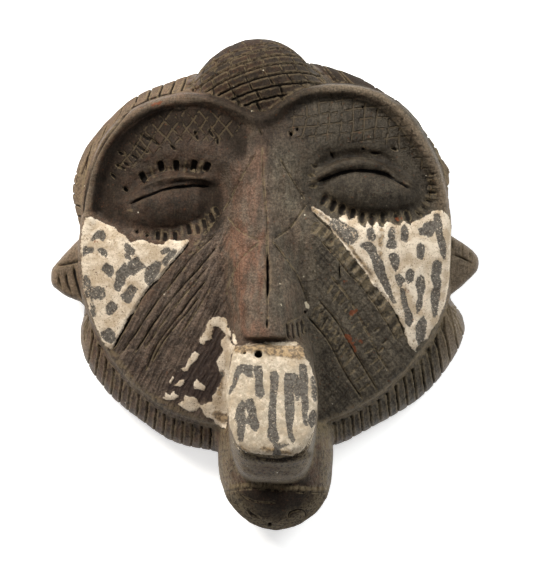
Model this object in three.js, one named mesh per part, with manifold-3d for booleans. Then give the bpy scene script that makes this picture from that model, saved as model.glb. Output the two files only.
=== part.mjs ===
// A miniature mask carved from one block of dark wood, with a gouged hair and beard band round the face.
// Millimetres. The mask lies on its back: +Z points out of the face, +Y towards the crown, +X to the
// viewer's right. The origin is in the middle of the flat back rim that the mask lies on.
import * as THREE from "three";
import { mergeVertices } from "three/addons/utils/BufferGeometryUtils.js";
import Module from "manifold-3d";

const wasm = await Module();
wasm.setup();

// Driving dimensions
const HEAD_CENTRE = [0, 5];
const EDGE_HEIGHT = 19.5;
const EDGE_SLOPE = 0.14;
const FACE_CROWN = 8;
const RIM_WIDTH = 2.8;
const RIM_RISE = 0.7;
const BROW_RECESS = 2.6;
const BROW_RECOVERY = 11;
const SOCKET = { halfWidth: 17, halfHeight: 12, depth: 5.4, inset: 0.88 };
const BAND_TOP = 15.5;
const BAND_SLOPE = 0.08;
const STRAND_PITCH = 2.5;
const STRAND_GOUGE = 0.6;
const STRAND_CREST = 0.15;
const STRAND_LENGTH = 13;
const HOLLOW_DEPTH = 17.5;
const CROWN = { at: [-1.4, 50.2, 14.6], half: [14.8, 13.8, 12.6], rows: 16, gouge: 0.45, turn: 0.4, tip: -0.4 };
const CROWN_SKEW = { spread: 0.12, skirt: 0.33, lean: 1.4, nod: 2 };
const NOSE = { top: 44.6, tip: -13.2, foot: 18, ridge: 27.2, rise: 11.6 };
const MUZZLE = { top: 41, slope: -0.29, pivot: -30, lipDrop: 8, backing: 3.4, foot: 9 };
const NECK_TOP = 24.5;
const BULB = { step: 0.8, ledge: -52.6 };
const LID = { half: 1.7, rise: 2 };
const SLIT = { half: 0.55, rise: 1.5 };
const EAR = { thickness: 4.6, bevel: 1.3, base: 8.2 };

// The face's edge, from the notch between the brows clockwise round by the right cheek
const FACE_EDGE = [
  [-0.9, 43.9], [9, 50.3], [20.5, 52], [31.6, 49.2], [38.9, 42.7], [45.5, 30], [47.8, 18], [47.8, 6],
  [45.8, -7.2], [41.5, -16.6], [31.6, -27], [20.9, -33.5], [2, -38], [-20.7, -34.6], [-31, -28.6],
  [-39.4, -20], [-46.6, -5], [-48.3, 6], [-47.4, 16], [-44.1, 33.3], [-35.5, 44.5], [-20.2, 49.7],
  [-8.5, 47.2],
];
// The outer edge of the hair and beard band, which slips behind the face at the ears
const BAND_EDGE = [
  [-1, 58], [14, 57.6], [28.7, 51.8], [37, 43], [43, 30.5], [46, 16], [46.6, 2], [49.2, -4.2],
  [52.2, -9.5], [51.6, -14.5], [47.5, -22], [40.2, -30], [26.9, -38], [17.8, -42.2], [2, -45],
  [-13.6, -43.4], [-25.3, -40.2], [-36.8, -32], [-44.6, -23.6], [-48, -14.5], [-47.2, -7], [-45.8, 0],
  [-46.4, 10], [-48.4, 17], [-50.3, 24.5], [-48, 33], [-44.2, 39.2], [-34.6, 48.4], [-20, 54.6],
];
const MUZZLE_EDGE = [
  [-6.9, -15.4], [10, -15.8], [12.6, -21], [13.9, -29.5], [12.6, -38.5], [8.6, -43.2], [0.4, -43.6],
  [-5.6, -42.4], [-9, -36.5], [-9.7, -29], [-8.8, -20],
];
// The edge of the hollow in the back
const HOLLOW_EDGE = [
  [0, 43], [20, 41], [34, 29], [38.5, 9], [33, -12], [18, -26], [0, -30.5], [-18, -26.5], [-33, -12],
  [-38.5, 9], [-34, 29], [-20, 40.5],
];
const CHIN_EDGE = [
  [2.9, -34], [15.5, -35], [17.8, -41], [17.8, -48], [16.6, -55.4], [11.2, -61.4], [3.2, -64.1],
  [-4.2, -61.9], [-9.6, -56.4], [-11.9, -49.4], [-12.1, -41], [-10.3, -35],
];
const LEFT_EYE = {
  ball: [-24.8, 21.6, 20.6], half: [14.4, 8, 6.8], turn: 0.12,
  lid: [[-38.8, 18.8, 22], [-33.9, 24.2, 24.2], [-28, 27.2, 25.6], [-21.5, 28.3, 26.4], [-12, 26.8, 26.4]],
  slit: [[-34.6, 21.6, 24.6], [-29.6, 23.4, 26.6], [-24, 24.4, 27], [-18, 24.8, 26.6], [-12.6, 25.4, 26]],
};
const RIGHT_EYE = {
  ball: [26, 25, 20.8], half: [14.4, 8, 6.8], turn: -0.1,
  lid: [[12, 26.8, 26.6], [18.2, 30.4, 26.6], [24.6, 31.6, 26.4], [31.6, 30, 25.4], [39.8, 22.8, 22]],
  slit: [[13.4, 27.4, 24.6], [18.8, 28.2, 26.8], [25.9, 28.9, 26.6], [32, 28, 26], [38.6, 24.8, 23.6]],
};
const LEFT_EAR = [
  [-43, 13], [-47.8, 10.6], [-51.6, 6.6], [-54.5, 3.4], [-54.4, 0.6], [-51.6, -1.6], [-47, -3.4], [-43, -4],
];
const RIGHT_EAR = [
  [43, 13.5], [47.8, 11.6], [51.8, 9.2], [54.5, 6.6], [54.4, 4.6], [52.2, 2.2], [48, -1.4], [43, -4],
];

const smoothstep = (low, high, value) => THREE.MathUtils.smoothstep(value, low, high);

// A closed outline as a reach from its centre for each direction
function outline(points, centre) {
  const curve = new THREE.CatmullRomCurve3(points.map(([x, y]) => new THREE.Vector3(x, y, 0)), true, "catmullrom");
  const around = curve.getPoints(720).slice(0, -1).map((p) => {
    const dx = p.x - centre[0];
    const dy = p.y - centre[1];
    return { angle: Math.atan2(dy, dx), reach: Math.hypot(dx, dy) };
  });
  around.sort((a, b) => a.angle - b.angle);
  const reach = (angle) => {
    let after = around.findIndex((p) => p.angle > angle);
    if (after < 0) after = 0;
    const a = around[(after + around.length - 1) % around.length];
    const b = around[after];
    const span = THREE.MathUtils.euclideanModulo(b.angle - a.angle, 2 * Math.PI) || 1;
    const share = THREE.MathUtils.euclideanModulo(angle - a.angle, 2 * Math.PI) / span;
    return a.reach + (b.reach - a.reach) * share;
  };
  return { centre, curve, reach };
}

// A closed geometry as a solid, turned right way out
function solid(geometry) {
  const bare = new THREE.BufferGeometry().setAttribute("position", geometry.getAttribute("position"));
  bare.setIndex(geometry.index);
  const merged = mergeVertices(bare, 1e-3);
  const corners = merged.index.array;
  const kept = [];
  for (let i = 0; i < corners.length; i += 3) {
    const [a, b, c] = corners.slice(i, i + 3);
    if (a !== b && b !== c && c !== a) kept.push(a, b, c);
  }
  const vertProperties = merged.attributes.position.array;
  const made = new wasm.Manifold(new wasm.Mesh({ numProp: 3, vertProperties, triVerts: new Uint32Array(kept) }));
  if (made.volume() > 0) return made;
  return new wasm.Manifold(new wasm.Mesh({ numProp: 3, vertProperties, triVerts: new Uint32Array(kept.reverse()) }));
}

// A body turned on a lathe and squeezed to an outline: each row is a share of the reach and a height
function turned(rows, edge, sectors) {
  const profile = rows.map((row, i) => new THREE.Vector2(row.share, -i));
  const geometry = new THREE.LatheGeometry(profile, sectors).rotateX(Math.PI / 2);
  const place = geometry.attributes.position;
  for (let i = 0; i < place.count; i++) {
    const row = rows[i % rows.length];
    const angle = row.share ? Math.atan2(place.getY(i), place.getX(i)) : 0;
    const reach = edge.reach(angle);
    const x = edge.centre[0] + Math.cos(angle) * reach * row.share;
    const y = edge.centre[1] + Math.sin(angle) * reach * row.share;
    const drop = row.drop ? row.drop(y) : 0;
    place.setXYZ(i, x, y - drop, row.height(x, y, (1 - row.share) * reach));
  }
  return solid(geometry);
}

const faceEdge = outline(FACE_EDGE, HEAD_CENTRE);
const bandEdge = outline(BAND_EDGE, HEAD_CENTRE);
const edgeHeight = (y) => EDGE_HEIGHT + EDGE_SLOPE * y;

// How deep the eye sockets are sunk at a place on the face
function socketDepth(x, y) {
  return [LEFT_EYE, RIGHT_EYE].reduce((depth, eye) => {
    const across = (x - eye.ball[0] * SOCKET.inset) / SOCKET.halfWidth;
    const up = (y - eye.ball[1] - 1) / SOCKET.halfHeight;
    return depth + SOCKET.depth * (1 - smoothstep(0.1, 1.1, Math.hypot(across, up)));
  }, 0);
}

// The face's surface: a low dome with a raised rim over the brows, and sunk fields under the rim
function faceHeight(x, y, inset) {
  const fromCentre = Math.hypot(x - HEAD_CENTRE[0], y - HEAD_CENTRE[1]) / 48;
  const dome = edgeHeight(y) + FACE_CROWN * (1 - Math.min(1, fromCentre ** 2));
  const brow = smoothstep(12, 21, y);
  const underRim = smoothstep(RIM_WIDTH, RIM_WIDTH + 0.8, inset);
  const field = BROW_RECESS * Math.exp(-Math.max(0, inset - RIM_WIDTH) / BROW_RECOVERY);
  const rim = RIM_RISE * Math.sin(Math.PI * Math.min(1, inset / RIM_WIDTH)) * (1 - underRim);
  return dome + brow * (rim - underRim * field) - socketDepth(x, y) * underRim;
}

function faceBlock() {
  const shares = [0, 0.15, 0.28, 0.37, 0.45, 0.52, 0.59, 0.66, 0.73, 0.79, 0.85, 0.89, 0.925, 0.945, 0.975, 1];
  const front = shares.map((share) => ({ share, height: faceHeight }));
  const side = [
    { share: 1.004, height: (x, y) => edgeHeight(y) - 2 },
    { share: 0.985, height: () => 8 },
    { share: 0.955, height: () => 0 },
    { share: 0, height: () => 0 },
  ];
  return turned([...front, ...side], faceEdge, 67);
}

// Which way the gouges of the band run at a place on its edge: outwards at the ears, up over the
// brows with a lean to the middle, and down round the jaw
function strandDirection(x, y) {
  const up = smoothstep(22, 38, y);
  const down = smoothstep(4, 18, -y);
  const radial = new THREE.Vector2(x - HEAD_CENTRE[0], y - HEAD_CENTRE[1]).normalize();
  const lean = x > 0 ? 1.4 : 0.5;
  const upwards = new THREE.Vector2((-lean * x) / (Math.abs(x) + 12), 1).normalize();
  const downwards = new THREE.Vector2((0.2 * x) / 50, -1).normalize();
  const mixed = radial.multiplyScalar(1 - up - down).addScaledVector(upwards, up);
  return mixed.addScaledVector(downwards, down).normalize();
}

// Each strand of the band starts where the one before it ends: closer where the gouges cross it squarely
function strandStarts() {
  const length = bandEdge.curve.getLength();
  const starts = [0];
  while (true) {
    const at = starts.at(-1);
    const share = Math.min(1, at / length);
    const p = bandEdge.curve.getPointAt(share);
    const along = bandEdge.curve.getTangentAt(share);
    const way = strandDirection(p.x, p.y);
    const square = Math.abs(along.x * way.y - along.y * way.x);
    const next = at + STRAND_PITCH / Math.max(0.55, square);
    if (next > length - STRAND_PITCH / 2) return starts.map((s) => s / length);
    starts.push(next);
  }
}

// The band as strands laid side by side: each has a crest line and the gouge that parts it from the next
function band() {
  const starts = strandStarts();
  const columns = starts.flatMap((start, i) => {
    const step = (starts[i + 1] ?? 1) - start;
    return [0, 0.6].map((share) => ({ at: start + step * share, sunk: share ? STRAND_GOUGE : 0 }));
  });
  const rows = [
    { share: 0, height: 1, out: 0, up: 0 },
    { share: 0.45, height: 0.97, out: 0.2, up: 0.98 },
    { share: 0.8, height: 0.78, out: 0.6, up: 0.8 },
    { share: 0.96, height: 0.56, out: 0.9, up: 0.4 },
    { share: 1, height: 0.34, out: 1, up: 0 },
    { share: 0.97, height: 0.12, out: 1, up: 0 },
    { share: 0.86, height: 0, out: 0, up: 0 },
  ];
  const profile = [0, ...rows.map(() => 1), 0].map((r, i) => new THREE.Vector2(r, -i));
  const geometry = new THREE.LatheGeometry(profile, columns.length);
  const place = geometry.attributes.position;
  for (let i = 0; i < place.count; i++) {
    const column = columns[Math.floor(i / profile.length) % columns.length];
    const level = (i % profile.length) - 1;
    if (level < 0 || level === rows.length) {
      place.setXYZ(i, ...HEAD_CENTRE, level < 0 ? BAND_TOP : 0);
      continue;
    }
    const row = rows[level];
    const outer = bandEdge.curve.getPointAt(column.at);
    const way = strandDirection(outer.x, outer.y);
    const inner = strandRoot(outer, way);
    const sink = (column.sunk || -STRAND_CREST) * row.out;
    const x = inner.x + (outer.x - inner.x) * row.share - way.x * sink;
    const y = inner.y + (outer.y - inner.y) * row.share - way.y * sink;
    const top = BAND_TOP + BAND_SLOPE * outer.y;
    place.setXYZ(i, x, y, top * row.height - column.sunk * row.up);
  }
  return solid(geometry);
}

// Where a strand comes out from under the face, or as far back as a strand reaches
function strandRoot(outer, way) {
  const step = 0.25;
  let travel = step;
  while (travel < STRAND_LENGTH) {
    const x = outer.x - way.x * travel;
    const y = outer.y - way.y * travel;
    const angle = Math.atan2(y - HEAD_CENTRE[1], x - HEAD_CENTRE[0]);
    if (Math.hypot(x - HEAD_CENTRE[0], y - HEAD_CENTRE[1]) < faceEdge.reach(angle) * 0.95) break;
    travel += step;
  }
  return { x: outer.x - way.x * travel, y: outer.y - way.y * travel };
}

// The domed topknot: its rows of tooled blocks are the rings of a lathe laid on its side, and its foot
// flares out to the right in a smooth skirt
function crown() {
  const rings = CROWN.rows * 2;
  const profile = [];
  for (let i = 0; i <= rings; i++) {
    const angle = (Math.PI * i) / rings;
    const sunk = i % 2 === 0 ? CROWN.gouge / CROWN.half[1] : 0;
    profile.push(new THREE.Vector2(Math.sin(angle) * (1 - sunk), -Math.cos(angle)));
  }
  const geometry = new THREE.LatheGeometry(profile, 22);
  const place = geometry.attributes.position;
  geometry.rotateX(CROWN.tip).rotateZ(CROWN.turn).scale(...CROWN.half);
  for (let i = 0; i < place.count; i++) {
    const up = place.getY(i) / CROWN.half[1];
    const skirt = place.getX(i) > 0 ? CROWN_SKEW.skirt * (1 - smoothstep(0, 0.5, up)) : 0;
    const wider = place.getX(i) * (1 + CROWN_SKEW.spread * (1 - up ** 2) + skirt);
    place.setX(i, wider + CROWN_SKEW.lean * (up - 1));
    place.setZ(i, place.getZ(i) + CROWN_SKEW.nod * up);
  }
  return solid(geometry.translate(...CROWN.at));
}

// The nose: a long wedge with a roofed back, sprung from the notch between the brows
function nose() {
  const geometry = new THREE.BoxGeometry(2, 2, 2, 10, 12, 1);
  const place = geometry.attributes.position;
  for (let i = 0; i < place.count; i++) {
    const across = place.getX(i);
    const along = (1 - place.getY(i)) / 2;
    const y = NOSE.top + (NOSE.tip - NOSE.top) * along;
    const spread = 3.2 + 8.8 * Math.sin((Math.PI / 2) * Math.min(1, along * 1.3)) ** 0.36;
    const pinch = smoothstep(0.6, 1, along);
    const half = spread - 2.4 * pinch;
    const middle = -1.2 + 0.6 * along + 1.1 * pinch;
    const ridge = NOSE.ridge + NOSE.rise * along ** 1.1;
    const fall = (4.5 + 7.5 * along) * Math.abs(across) ** 2.2;
    const high = place.getZ(i) > 0;
    const undercut = high && along === 1 ? -0.6 : 0;
    place.setXYZ(i, middle + half * across, y + undercut, high ? ridge - fall : NOSE.foot);
  }
  return solid(geometry);
}

// The mouth: a blunt muzzle whose flat front leans out, with the lower lip drawn back under it
function muzzle() {
  const front = (y) => MUZZLE.top + MUZZLE.slope * (y - MUZZLE.pivot);
  const lip = (y) => MUZZLE.lipDrop * smoothstep(24, 42, -y);
  const backing = (y) => MUZZLE.backing * smoothstep(-24, -17, y);
  const rows = [
    { share: 0, height: (x, y) => front(y) + 0.8 },
    { share: 0.45, height: (x, y) => front(y) + 0.6 },
    { share: 0.82, height: (x, y) => front(y) },
    { share: 0.95, height: (x, y) => front(y) - 0.8 },
    { share: 1, height: (x, y) => front(y) - 2.4 },
    { share: 0.99, height: (x, y) => front(y) - 6, drop: (y) => 0.3 * lip(y) - 0.6 * backing(y) },
    { share: 0.98, height: (x, y) => front(y) - 11, drop: (y) => 0.8 * lip(y) - backing(y) },
    { share: 0.96, height: (x, y) => front(y) - 18, drop: (y) => lip(y) - backing(y) },
    { share: 0.96, height: () => MUZZLE.foot, drop: (y) => lip(y) - backing(y) },
    { share: 0, height: () => MUZZLE.foot },
  ];
  return turned(rows, outline(MUZZLE_EDGE, [2, -29.5]), 32);
}

// The chin: a neck that runs up under the jaw, and a bulb that stands a little proud below its ledge
function chin() {
  const shape = (grow) => {
    const top = (y) => NECK_TOP + 0.12 * (y + 46) + grow;
    const rows = [
      { share: 0, height: (x, y) => top(y) },
      { share: 0.35, height: (x, y) => top(y) - 0.4 },
      { share: 0.62, height: (x, y) => top(y) - 2 },
      { share: 0.82, height: (x, y) => top(y) - 5 },
      { share: 0.94, height: (x, y) => top(y) - 9 },
      { share: 1, height: () => 12 },
      { share: 0.97, height: () => 6.5 },
      { share: 0.86, height: () => 2.6 },
      { share: 0.6, height: () => 1 },
      { share: 0, height: () => 1 },
    ];
    return turned(rows, outline(CHIN_EDGE, [2.9, -48]), 40);
  };
  const below = solid(new THREE.BoxGeometry(60, 30, 60).translate(0, BULB.ledge - 15, 20));
  return shape(0).add(shape(BULB.step).intersect(below));
}

// A bar that follows a line of points and tapers to both ends
function bar(points, size, sectors, steps) {
  const path = new THREE.CatmullRomCurve3(points.map((p) => new THREE.Vector3(...p)));
  const geometry = new THREE.SphereGeometry(1, sectors, steps).rotateZ(Math.PI / 2);
  const place = geometry.attributes.position;
  for (let i = 0; i < place.count; i++) {
    const middle = path.getPoint((1 - place.getX(i)) / 2);
    place.setXYZ(i, middle.x, middle.y + size.half * place.getY(i), middle.z + size.rise * place.getZ(i));
  }
  return solid(geometry);
}

// A closed eye: a long swelling with the upper lid's ridge over it
function eye(side) {
  const ball = new THREE.SphereGeometry(1, 20, 10).scale(...side.half).rotateZ(side.turn).translate(...side.ball);
  return solid(ball).add(bar(side.lid, LID, 10, 12));
}

function ear(points) {
  const shape = new THREE.Shape(points.map(([x, y]) => new THREE.Vector2(x, y)));
  const settings = { depth: EAR.thickness, bevelSize: EAR.bevel, bevelThickness: EAR.bevel * 1.6, bevelSegments: 3 };
  return solid(new THREE.ExtrudeGeometry(shape, settings).translate(0, 0, EAR.base));
}

// The back, hollowed out under the face and open below
function hollow() {
  const depths = [[0, 1], [0.3, 0.97], [0.55, 0.88], [0.75, 0.71], [0.88, 0.5], [0.96, 0.24], [1, -0.06], [0, -0.06]];
  const rows = depths.map(([share, depth]) => ({ share, height: () => depth * HOLLOW_DEPTH }));
  return turned(rows, outline(HOLLOW_EDGE, HEAD_CENTRE), 48);
}

const carved = [faceBlock(), band(), crown(), nose(), muzzle(), chin(), eye(LEFT_EYE), eye(RIGHT_EYE)]
  .concat([ear(LEFT_EAR), ear(RIGHT_EAR)])
  .reduce((block, piece) => block.add(piece))
  .subtract(hollow())
  .subtract(bar(LEFT_EYE.slit, SLIT, 6, 10))
  .subtract(bar(RIGHT_EYE.slit, SLIT, 6, 10));

const { vertProperties, triVerts } = carved.getMesh();
const geometry = new THREE.BufferGeometry();
geometry.setAttribute("position", new THREE.BufferAttribute(vertProperties, 3));
geometry.setIndex(new THREE.BufferAttribute(triVerts, 1));
geometry.computeVertexNormals();

const darkWood = new THREE.MeshStandardMaterial({ color: 0x4a3f36, roughness: 0.62, metalness: 0 });
const mask = new THREE.Mesh(geometry, darkWood);
mask.name = "mask";

const model = new THREE.Group();
model.add(mask);
export default model;
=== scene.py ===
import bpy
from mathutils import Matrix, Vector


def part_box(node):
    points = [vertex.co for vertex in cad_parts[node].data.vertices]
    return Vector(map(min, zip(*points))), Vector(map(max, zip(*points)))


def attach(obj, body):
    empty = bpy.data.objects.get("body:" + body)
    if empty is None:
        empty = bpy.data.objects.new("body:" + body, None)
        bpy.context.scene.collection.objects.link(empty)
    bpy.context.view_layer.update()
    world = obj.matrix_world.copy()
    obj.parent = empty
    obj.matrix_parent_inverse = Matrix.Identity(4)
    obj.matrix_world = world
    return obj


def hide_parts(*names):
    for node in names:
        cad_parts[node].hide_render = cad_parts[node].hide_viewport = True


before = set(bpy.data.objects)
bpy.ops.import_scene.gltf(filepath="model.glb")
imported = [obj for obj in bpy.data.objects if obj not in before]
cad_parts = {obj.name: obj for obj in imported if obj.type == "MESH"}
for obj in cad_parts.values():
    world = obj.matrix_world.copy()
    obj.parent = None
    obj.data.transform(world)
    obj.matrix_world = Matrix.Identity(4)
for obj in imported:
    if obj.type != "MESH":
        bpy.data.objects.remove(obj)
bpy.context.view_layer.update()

import math
import bmesh
import bpy
import numpy as np
from mathutils import Matrix, Vector
from mathutils.kdtree import KDTree

# A miniature mask carved from dark wood, lying on its hollow back and seen from straight above.
# Places on the mask are in millimetres in the frame's own axes: x to the viewer's right, y towards the
# crown, z out of the face. Blender's objects are in metres.
MM = 0.001
SEED = 11

# How fine the carved surface is
FINEST_GRAIN = 0.5
GRAIN_OF_MESH = FINEST_GRAIN
FINE_STEPS = 1
MOST_TRIANGLES = 190_000

# Forms of the solid that the carving follows
HEAD_CENTRE = (0, 5)
EDGE_HEIGHT = 19.5
EDGE_SLOPE = 0.14
CROWN = {"at": (-1.4, 50.2, 14.6), "half": (14.8, 13.8, 12.6), "turn": 0.4, "tip": -0.4, "rows": 16}
CROWN_SKEW = {"spread": 0.12, "skirt": 0.33, "lean": 1.4, "nod": 2}
CHIN = {"x": (-13, 19), "top": -40}
EAR = {"x": 47.2, "y": (-6, 15)}

# Each incised line: half its width, its depth and the points that it runs through
INCISED = [
    # The nose's middle line with its two cracks, and the lozenges on its back
    (0.4, 0.5, [(-1.4, 40.3), (-0.7, 38.5)]),
    (0.42, 0.35, [(-0.7, 35.5), (-0.4, 28.1), (0.1, 21.3), (0.6, 16.1), (0.7, 7.8), (0.7, -1), (0.6, -11)]),
    (0.42, 1.9, [(0.8, 7.6), (0.9, -2.8)]),
    (0.4, 1.3, [(0.6, -8.8), (0.6, -11)]),
    (0.36, 0.38, [(4, 32.5), (6.6, 28.1), (10.6, 21.5)]),
    (0.36, 0.3, [(10.8, 20.8), (7.9, 16.4), (6.1, 14.3), (2, 11.7)]),
    (0.38, 0.36, [(2, 11.2), (4.8, 7.8), (7.9, 3.4), (9.8, -0.5), (11.1, -4.7)]),
    (0.34, 0.26, [(9.8, -7.8), (4, -10.9)]),
    (0.36, 0.3, [(-2.2, 33.8), (-5.1, 29.4), (-7.2, 25.5), (-10.8, 18.7)]),
    (0.34, 0.22, [(-9.8, 17.7), (-6.9, 14.3), (-3.3, 12.2), (-0.7, 11.2)]),
    (0.34, 0.25, [(-1.2, 10.9), (-4.3, 8.6), (-7.2, 5.2), (-9.5, -0.5), (-9.8, -3.4)]),
    # Bands that run down the left cheek to the jaw
    (0.5, 0.7, [(-19.4, 10.9), (-24.1, 5.5), (-28, 1), (-31.6, -2.8), (-34.4, -7.8), (-37.2, -12.7), (-39.6, -16.8)]),
    (0.42, 0.42, [(-12.9, 13), (-18.6, 7.3), (-23, 1.8), (-29.8, -7), (-33.7, -13), (-37.4, -18)]),
    (0.4, 0.5, [(-12.4, 9.8), (-16.8, 4.4), (-22.5, -1.8), (-29, -10.4), (-33.6, -17.6)]),
    (0.45, 0.5, [(-15.4, 0.8), (-18.6, -3.1), (-21.5, -7), (-27.7, -15.1), (-30.9, -22.3)]),
    (0.4, 0.42, [(-17.2, -3.4), (-20.2, -7.3), (-26.4, -14.8), (-29.4, -20.4)]),
    (0.36, 0.3, [(-14.6, 4.6), (-19.4, -1), (-25.4, -8.6), (-31.4, -17)]),
    (0.34, 0.25, [(-14, -1), (-17.4, -6.4), (-22, -13.4)]),
    # Bands that run down the right cheek
    (0.4, 0.45, [(12.4, 18.9), (16.4, 14.9), (19.4, 12), (23, 8.2), (26.4, 3.4), (28.6, -0.2), (33, -5.6),
                 (37, -14)]),
    (0.34, 0.35, [(14.6, 11.4), (17, 8.7), (19.1, 6.5), (21.7, 3), (24.3, 0.4), (26.9, -3), (29.5, -6.5),
                  (34.7, -15)]),
    (0.36, 0.3, [(17, 2.4), (22, -4), (26.9, -13), (29.5, -18.2), (32.3, -22.5)]),
    (0.4, 0.42, [(13.9, -3.9), (18.9, -9.9), (22.2, -15.6), (26.1, -22.1), (29.4, -27.6)]),
    (0.4, 0.42, [(11.1, -8.3), (16.3, -14.3), (19.1, -19.5), (21.7, -24.2), (25.4, -29.6)]),
    (0.25, 1, [(19.3, 5.6), (19.6, 1.2)]),
    # The ears' folds
    (0.45, 0.5, [(-54.5, 5.2), (-51, 5.4), (-47.6, 6.3)]),
    (0.45, 0.55, [(-53.6, 2.8), (-53.4, 0.8), (-52.7, -1.2)]),
    (0.45, 0.6, [(-51.7, 3.4), (-51.2, 0.2), (-50, -3)]),
    (0.45, 0.6, [(-49.7, 4.9), (-49, 0.4), (-47.4, -4.4)]),
    (0.4, 0.45, [(48.8, 12.2), (48.9, 8.6)]),
    (0.4, 0.45, [(51.3, 10.7), (51.3, 7)]),
    (0.4, 0.45, [(53.4, 9.2), (53.4, 6.2)]),
    (0.4, 0.45, [(48.6, 8.1), (51.6, 6.8), (54.2, 5.2)]),
    # The outer edge of the rim over the left brow
    (0.42, 0.5, [(-47.2, 18.2), (-46, 25.5), (-44.6, 30.7), (-42, 35.9), (-38.9, 40.3), (-35.5, 44.7), (-31.9, 47.3),
                 (-28, 48.9), (-22.8, 49.7)]),
    # The edge of the upper lip, the ledge across the chin and the curved marks below it
    (0.5, 0.35, [(-8.9, -38.6), (-5.4, -42.9), (2.7, -44.7), (9.2, -43.1), (13.2, -37.3)]),
    (0.4, 0.3, [(-11.6, -54.1), (-4, -52.8), (3.9, -53.4), (12.2, -53.9), (17.6, -54.2)]),
    (0.4, 0.45, [(-4.4, -57.9), (-3.5, -59.5), (-1.4, -60.4)]),
    (0.4, 0.45, [(6, -61), (6.6, -59.2), (9.2, -58.4), (10.8, -59.5), (10.3, -61)]),
    (0.3, 0.3, [(-6, -54.4), (-3, -56), (3, -56.6)]),
]
# The slits between the lids of the closed eyes
EYELIDS = [
    (0.42, 1.2, [(-34.6, 20.9), (-32.6, 22), (-29.4, 23.2), (-25.6, 24.6), (-21.6, 25.3), (-17.6, 25.6),
                 (-14.6, 25.4)]),
    (0.3, 0.5, [(-23.6, 26.4), (-19.4, 26.9), (-14.6, 26.6)]),
    (0.5, 1.0, [(13.8, 26.6), (17.6, 28.1), (21.6, 29.2), (25.4, 29.5), (29.2, 29), (33, 27.6), (37.8, 24.6)]),
]
# Soft creases over the upper lids and under the eyeballs
CREASES = [
    (1.5, 0.5, [(-37.6, 22.4), (-33.4, 26), (-27.6, 28.4), (-21.4, 29.4), (-14, 29)]),
    (1.5, 0.5, [(13, 30.3), (16.7, 32.4), (22, 33.8), (27.4, 33.7), (32.4, 31.8), (37, 28.6), (40, 25.6)]),
    (2.0, 0.5, [(-37.8, 18.4), (-35.2, 15.4), (-30.6, 13.8), (-24.9, 13.4), (-19.4, 14.8), (-14.4, 18)]),
    (2.0, 0.5, [(13, 24.8), (17.2, 21.4), (22.6, 19.2), (28.2, 18.2), (33.9, 18.6), (38, 20.6)]),
]
# How far the eyeballs swell below the lids: middle, half widths and rise
EYEBALLS = [((-25.6, 19.2), (13, 6.4), 1.3), ((27, 23.4), (14, 5.6), 1.1)]
# Pits for lashes round the eyes: each eye's row of middles, and how long, wide and deep a pit is
LASHES = [
    {"at": [(-31.5, 28), (-26.9, 30.7), (-22.9, 31), (-18.3, 30.9), (-15, 30.4)], "eye": (-23, 14),
     "long": 2.7, "half": 0.95, "deep": 1.1, "square": True},
    {"at": [(-36.2, 24.8), (-33, 13.8), (-30.4, 12.9)], "eye": (-26, 20), "long": 1.1, "half": 0.5, "deep": 0.6,
     "square": True},
    {"at": [(-27.6, 12.8), (-25.8, 12.5), (-23.2, 12.7), (-19.6, 14.4), (-17.3, 14.4), (-15.6, 15.8), (-13.6, 17.4),
            (-12.4, 19)], "eye": (-24, 44), "long": 2.9, "half": 0.75, "deep": 0.6, "square": True},
    {"at": [(15.4, 22), (17.8, 20.4), (20.2, 19.6), (22.8, 18.3), (25.3, 17.2), (27.8, 16.7), (30.6, 17.2),
            (34.2, 17.2), (37, 17.8)], "eye": (27, 44), "long": 3.3, "half": 1.05, "deep": 0.5, "square": False},
    {"at": [(39.8, 18.5), (41.4, 20), (42.6, 21.8), (43.4, 23.8), (43.8, 25.8), (43.6, 28.6)], "eye": (30, 26),
     "long": 2.4, "half": 0.5, "deep": 0.4, "square": False},
    {"at": [(12.9, 30.6), (12.2, 28.2), (12.6, 25.4)], "eye": (24, 27), "long": 1.8, "half": 0.7, "deep": 0.3,
     "square": False},
]
# Shallow square cells in the band beside the right cheek's clay, and three beside the left cheek's
CELLS = {
    "at": [(315, 228), (323, 232), (331, 241), (339, 252), (346, 258), (353, 267), (360, 275), (366, 284),
           (372, 292), (380, 302), (387, 313), (393, 325), (398, 335)],
    "way": (0.62, 0.78), "long": 3.3, "half": 1.2, "deep": 0.34,
}
TICKS = {
    "at": [(192, 253), (198, 248), (197, 243), (188, 262), (204, 240), (207, 232), (211, 226), (183, 270),
           (376, 330), (384, 342), (371, 338), (380, 350), (366, 326), (325, 318), (330, 327), (336, 336),
           (318, 308), (342, 346), (348, 356), (322, 312)],
    "way": (0.75, 0.66), "long": 2.0, "half": 0.5, "deep": 0.3,
}
# Round holes: middle, radius and depth
HOLES = [
    ((-1.6, -17.6), 1.15, 2.6), ((-5.2, -17.3), 0.5, 1.6), ((10.5, -7), 0.4, 1.2), ((1.4, -62.1), 0.5, 1.2),
    ((-36.3, 24.9), 0.5, 1.1), ((6.8, 39), 0.5, 1.6), ((8.4, 40.2), 0.4, 1.1), ((25.5, 35.1), 0.45, 1.1),
    ((25.4, 46), 0.3, 0.8),
]
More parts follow.
